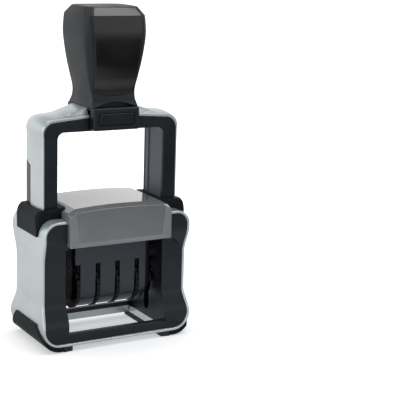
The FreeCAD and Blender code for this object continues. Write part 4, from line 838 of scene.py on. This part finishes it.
def make_panel():
    """The glossy panel: the grip's front face itself, a hair proud, with a border that dips."""
    z = join([np.linspace(PANEL_LOW, 113.0, 5), np.linspace(113.3, CREST_Z[0] - 0.12, 70),
              CREST_Z[[0, 0, 1, 1, 2, 2]] + [0.12, 1.8, -0.12, 0.12, -0.15, -0.04]])[:, None]
    half = np.interp(z, [PANEL_LOW, CREST_Z[0]], [9.5, 11.7])
    half = np.minimum(half, grip_at(z[:, 0])[:, 2:3] - 0.45)
    share = join([[-1, -0.985, -0.97, -0.95], np.linspace(-0.92, 0.92, 27), [0.95, 0.97, 0.985, 1]])
    x = half * share
    height = z - PANEL_SAG * (1 - share ** 2) * (1 - ease((z - PANEL_LOW) / 6.0))
    here = grip_at(height.ravel()).reshape(*height.shape, 4)
    surface = here[..., 3] - CROWN_FRONT * (x / here[..., 2]) ** 2
    border = np.minimum((1 - np.abs(share)) * half, z - PANEL_LOW)
    y = -surface - PANEL_PROUD + PANEL_DIP * (1 - ease(border / 0.35))
    outer = to_space("xz", x, height, y)
    return skin(join([outer, (outer + [0, 1.1, 0])[:, ::-1]], axis=1))


make_grip()
for place, panel in zip(("front", "rear"), both_sides(make_panel(), axis=1)):
    make_piece(f"{place}_gloss_panel", [panel], GLOSS, f"handle_{place}_panel", crisp=50)

# %% [markdown]
# **The date unit.** The housing is a sheet bent round the setting wheels: down the
# front, round the underside and up the rear. Slots let the wheels through, so it is two
# upper bands, and narrow strips, the ribs, between the slots.

# %% Date housing
HOUSING_LEFT, HOUSING_RIGHT, HOUSING_Y, HOUSING_LOW, HOUSING_TOP = -16.9, 17.7, 9.4, 14.6, 44.6
HOUSING_ROUND, HOUSING_WALL, SLOT_TOP, SLOT_HALF = 8.5, 1.3, 35.5, 1.1
WHEEL_X, WHEEL_Z = -15.5 + 9.6 * np.arange(4), 24.3


def housing_path():
    """Side view (y, z) of the ribs' outer face, from the slots' top in front round to the rear."""
    centre_y, centre_z = HOUSING_Y - HOUSING_ROUND, HOUSING_LOW + HOUSING_ROUND
    straight = np.stack([np.full(11, -HOUSING_Y), np.linspace(SLOT_TOP, centre_z, 12)[:-1]], axis=1)
    half = join([straight, arc((-centre_y, centre_z), HOUSING_ROUND, 180, 270, 16)])
    return join([half, (half * [-1, 1])[::-1]])


def make_housing():
    """Ribs between the slots, and one upper band in front and one behind."""
    ends = join([[HOUSING_LEFT], (WHEEL_X[:, None] + [-SLOT_HALF, SLOT_HALF]).ravel(), [HOUSING_RIGHT]])
    ribs, around = housing_path(), -path_normals(housing_path())
    parts = [strip(ribs, around, HOUSING_WALL, start, end, 0.25, plane="yz")
             for start, end in ends.reshape(-1, 2) if end - start > 0.5]
    upper = np.stack([np.full(8, -HOUSING_Y), np.linspace(HOUSING_TOP, SLOT_TOP, 8)], axis=1)
    band = strip(upper, -path_normals(upper), HOUSING_WALL, HOUSING_LEFT, HOUSING_RIGHT, 0.25, plane="yz")
    make_piece("slate_date_housing", parts + both_sides(band, axis=1), SLATE, "date_housing")


make_housing()

# %% [markdown]
# Two plates close the housing's ends and carry the pegs that turn it over. On its top
# lie the carrier and the rubber text plate, both with a window for the date.

# %% End plates, text plate and carrier
END_Y, END_LOW, END_ROUND, END_THICK, PEG_Z = 6.8, 17.2, 5.9, 3.0, 31.8


def make_end_plate(side):
    """A flat plate inside the housing's outline, with its flip peg; the left one has three index lugs."""
    outline = round_outline(with_mirror([(END_Y, END_LOW, END_ROUND), (END_Y, HOUSING_TOP, 0.4)]), 10)
    inner = HOUSING_RIGHT if side > 0 else HOUSING_LEFT
    parts = [slab("yz", outline, *sorted((inner, inner + side * END_THICK)), 0.3)]
    tip = side * (CHEEK_IN + 0.6)
    parts.append(rod((0.0, PEG_Z), 1.2, *sorted((inner + side * 2.0, tip)), rim=0.25))
    if side < 0:
        heights = HOUSING_LOW + (HOUSING_TOP - HOUSING_LOW) * np.array([0.41, 0.55, 0.65])
        parts += [rod((-END_Y + 0.6, z), 0.9, inner - END_THICK - 1.3, inner - 1.5, rim=0.3) for z in heights]
    return parts


# The end plates wear the near black as painted shade: it stands for the shade that falls on the housing's ends.
for side, sign in (("right", 1), ("left", -1)):
    make_piece(f"{side}_housing_end", make_end_plate(sign), WHEELS_AND_PAINTED_SHADE, f"{side}_end_plate")


def plate_ring(half_x, half_y, hole_x, hole_y, low, high, rim):
    """A flat plate with a window through it, as four bars round the window."""
    front, left, right = (slab("xy", rectangle(*bar), low, high, rim) for bar in (
        (-half_x, half_x, -half_y, -hole_y), (-half_x, hole_x[0], -hole_y, hole_y),
        (hole_x[1], half_x, -hole_y, hole_y)))
    return both_sides(front, axis=1) + [left, right]


WINDOW_X, WINDOW_Y = (-14.7, 17.6), 4.2
make_piece("text_plate_carrier", plate_ring(20.4, 11.1, WINDOW_X, WINDOW_Y, 44.61, 46.19, 0.12), SLATE, "die_plate")
text_parts = plate_ring(20.3, 11.0, WINDOW_X, WINDOW_Y, 46.2, 47.3, 0.08)
text_parts += plate_ring(20.3, 11.0, (-19.3, 19.3), 10.0, 47.3, 47.8, 0.1)
make_piece("blank_text_plate", text_parts, RUBBER, "text_plate")

# %% [markdown]
# **Setting wheels.** Each wheel is a thin acetal disc with finger grips round its rim.
# Its radius is a wave of the angle: R - d x (1 - |cos(n a / 2)|^0.6), which gives
# rounded grips with sharp valleys, like the real moulding.

# %% Setting wheels
WHEEL_RADIUS, WHEEL_HALF, GRIPS, GRIP_DEPTH = 10.4, 0.8, 18, 0.55


def make_wheel(x):
    """The disc at x, cut from the wave."""
    turn = np.linspace(0, 2 * math.pi, 360, endpoint=False)
    radius = WHEEL_RADIUS - GRIP_DEPTH * (1 - np.abs(np.cos(turn * GRIPS / 2)) ** 0.6)
    rim = np.stack([radius * np.cos(turn), WHEEL_Z + radius * np.sin(turn)], axis=1)
    return slab("yz", rim, x - WHEEL_HALF, x + WHEEL_HALF, 0.18, 2)


# The wheels' near black is partly their own black and partly painted shade, so that the slots read dark.
DRUM_ENDS = [-7.0, 2.6, 12.2, 17.4]
for name, x, drum_end in zip(("year", "month", "day_tens", "day_units"), WHEEL_X, DRUM_ENDS):
    drum = rod((0.0, WHEEL_Z), 6.4, x + WHEEL_HALF - 0.1, drum_end, 0.3, 48)
    make_piece(f"{name}_setting_wheel", [make_wheel(x), drum], WHEELS_AND_PAINTED_SHADE, f"{name}_wheel")

# %% [markdown]
# ** Springs.** A return spring is drawn wire round a rod inside each leg: a helix with
# closed end turns. It shortens as the bow goes down; here each spring gets a mesh of
# its own.

# %% Return springs
SPRING_X, SPRING_Y, SPRING_LOW, SPRING_TOP = 28.4, 4.9, 3.6, 88.0
SPRING_RADIUS, SPRING_WIRE, TURNS, SPRING_LENGTH, STROKE = 1.6, 0.3, 26, 84.4, 27.7


def make_spring(x):
    """A tube of wire along (R cos a, R sin a, z(a)); z rises slowly at both ends, where the turns touch."""
    t = np.linspace(0, 1, TURNS * 18 + 1)
    share = np.interp(t, [0, 0.05, 0.95, 1], [0, 0.02, 0.98, 1])
    z = SPRING_LOW + SPRING_WIRE + (SPRING_TOP - SPRING_LOW - 2 * SPRING_WIRE) * share
    angle = 2 * math.pi * TURNS * t
    outward = np.stack([np.cos(angle), np.sin(angle), 0 * angle], axis=1)
    centre = np.array([x, SPRING_Y, 0]) + SPRING_RADIUS * outward + z[:, None] * [0, 0, 1]
    upward = np.cross(unit(np.gradient(centre, axis=0)), outward)
    phase = np.linspace(0, 2 * math.pi, 8, endpoint=False)[None, :, None]
    return skin(centre[:, None] + SPRING_WIRE * (np.cos(phase) * outward[:, None] + np.sin(phase) * upward[:, None]))


for side, x in (("right", SPRING_X), ("left", -SPRING_X)):
    spring = make_piece(f"{side}_return_spring", [make_spring(x)], STEEL, f"{side}_spring", crisp=80)
    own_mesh(spring)

# %% [markdown]
# **The stage.** The photograph is a product shot on white: wide soft light from above and
# the left, a white room all round, and a faint shadow on the paper. Light Path makes the
# background white for the camera only. Reflections see a floor that falls into shade in
# front, which keeps the black plastics dark, and a ceiling that dims overhead. The small
# softbox is mirrored in the chamfer at the top of the grip.

# %% Floor and room
def white_floor():
    """White paper that glows away from the stamp; in reflections it is shaded near and in front of it."""
    material = bpy.data.materials.new("white paper floor")
    tree = fresh_tree(material)
    place = add(tree, "TexCoord").outputs["Object"]
    where = add(tree, "SeparateXYZ", {"Vector": place}).outputs
    away = add(tree, "VectorMath", {0: place}, operation="LENGTH")
    slant = add(tree, "Math", {0: where["Y"], 1: -0.6, 2: where["X"]}, operation="MULTIPLY_ADD")
    glow, near, far, shade = (
        add(tree, "MapRange", {"Value": value, "From Min": start, "From Max": end, "To Min": low, "To Max": high},
            interpolation_type=kind)
        for value, start, end, low, high, kind in (
            (away, 0.02, 0.13, 0.42, 1.0, "SMOOTHSTEP"), (away, 0.03, 0.12, 0.6, 1.0, "SMOOTHSTEP"),
            (away, 0.4, 2.5, 0.0, 1.0, "SMOOTHSTEP"), (slant, 0.1, 0.3, 0.85, 0.12, "LINEAR")))
    mirror = add(tree, "Math", {0: near, 1: shade}, operation="MULTIPLY")
    mirror = add(tree, "Math", {0: mirror, 1: far}, operation="MAXIMUM")
    ray = add(tree, "LightPath").outputs
    white = add(tree, "Math", {0: glow, 1: ray["Is Camera Ray"]}, operation="MULTIPLY")
    paper = add(tree, "BsdfDiffuse", {"Color": linear("#F4F4F4")})
    direct = add(tree, "AddShader", {0: paper, 1: add(tree, "Emission", {"Strength": white})})
    mirror = add(tree, "Emission", {"Strength": mirror})
    mix = add(tree, "MixShader", {0: ray["Is Glossy Ray"], 1: direct, 2: mirror})
    add(tree, "OutputMaterial", {"Surface": mix})
    return material


FLOOR_HALF = 6.0


def make_stage():
    """The paper floor, and the room as the world's background."""
    mesh = bpy.data.meshes.new("paper_floor")
    mesh.from_pydata([(x * FLOOR_HALF, y * FLOOR_HALF, 0) for x, y in ((-1, -1), (1, -1), (1, 1), (-1, 1))], [],
                     [(0, 1, 2, 3)])
    mesh.materials.append(white_floor())
    link_object("paper_floor", mesh)
    world = bpy.data.worlds.new("white room")
    bpy.context.scene.world = world
    tree = fresh_tree(world)
    ray = add(tree, "LightPath").outputs
    toward = add(tree, "SeparateXYZ", {"Vector": add(tree, "TexCoord").outputs["Generated"]}).outputs
    ceiling = add(tree, "MapRange", {"Value": toward["Z"], "From Min": 0.3, "From Max": 0.7, "To Min": 1.0,
                                     "To Max": 0.3})
    dim, room, white = (add(tree, "Background", {"Color": colour, "Strength": strength}) for colour, strength in (
        (linear("#F2F5FA"), 0.4), ((1, 1, 1, 1), ceiling), ((1, 1, 1, 1), 1.0)))
    lit = add(tree, "MixShader", {0: ray["Is Glossy Ray"], 1: dim, 2: room})
    mix = add(tree, "MixShader", {0: ray["Is Camera Ray"], 1: lit, 2: white})
    add(tree, "OutputWorld", {"Surface": mix})


def soft_light(name, place, aim, size, power):
    """A square softbox that faces its aim."""
    light = bpy.data.lights.new(name, "AREA")
    light.shape, light.size, light.energy = "SQUARE", size, power
    thing = link_object(name, light)
    thing.location = place
    thing.rotation_euler = (Vector(aim) - Vector(place)).to_track_quat("-Z", "Y").to_euler()


make_stage()
soft_light("overhead softbox", (-0.1, 0.1, 0.8), (0, 0, 0.05), 0.8, 1.9)
soft_light("left softbox", (-0.9, 0.0, 0.35), (0, 0, 0.07), 0.6, 1.9)
soft_light("small high softbox", (0.34, -0.16, 0.86), (0, -0.01, 0.145), 0.32, 1.4)

# %% [markdown]
# The camera's place and angles were solved from the photograph, so the horizon is tilted
# by 1.8 degrees. Standard view keeps the white paper white.

# %% Camera
camera_data = bpy.data.cameras.new("photo camera")
camera_data.sensor_fit, camera_data.sensor_width, camera_data.lens = "HORIZONTAL", 36.0, 110.07
camera = link_object("photo camera", camera_data)
camera.location = (-0.231745, -0.477122, 0.181671)
camera.rotation_euler = tuple(math.radians(angle) for angle in (77.3139, -1.7619, -30.2134))
bpy.context.scene.camera = camera
bpy.context.scene.view_settings.view_transform = "Standard"
print("lights:", len(bpy.data.lights), "camera:", camera.name)
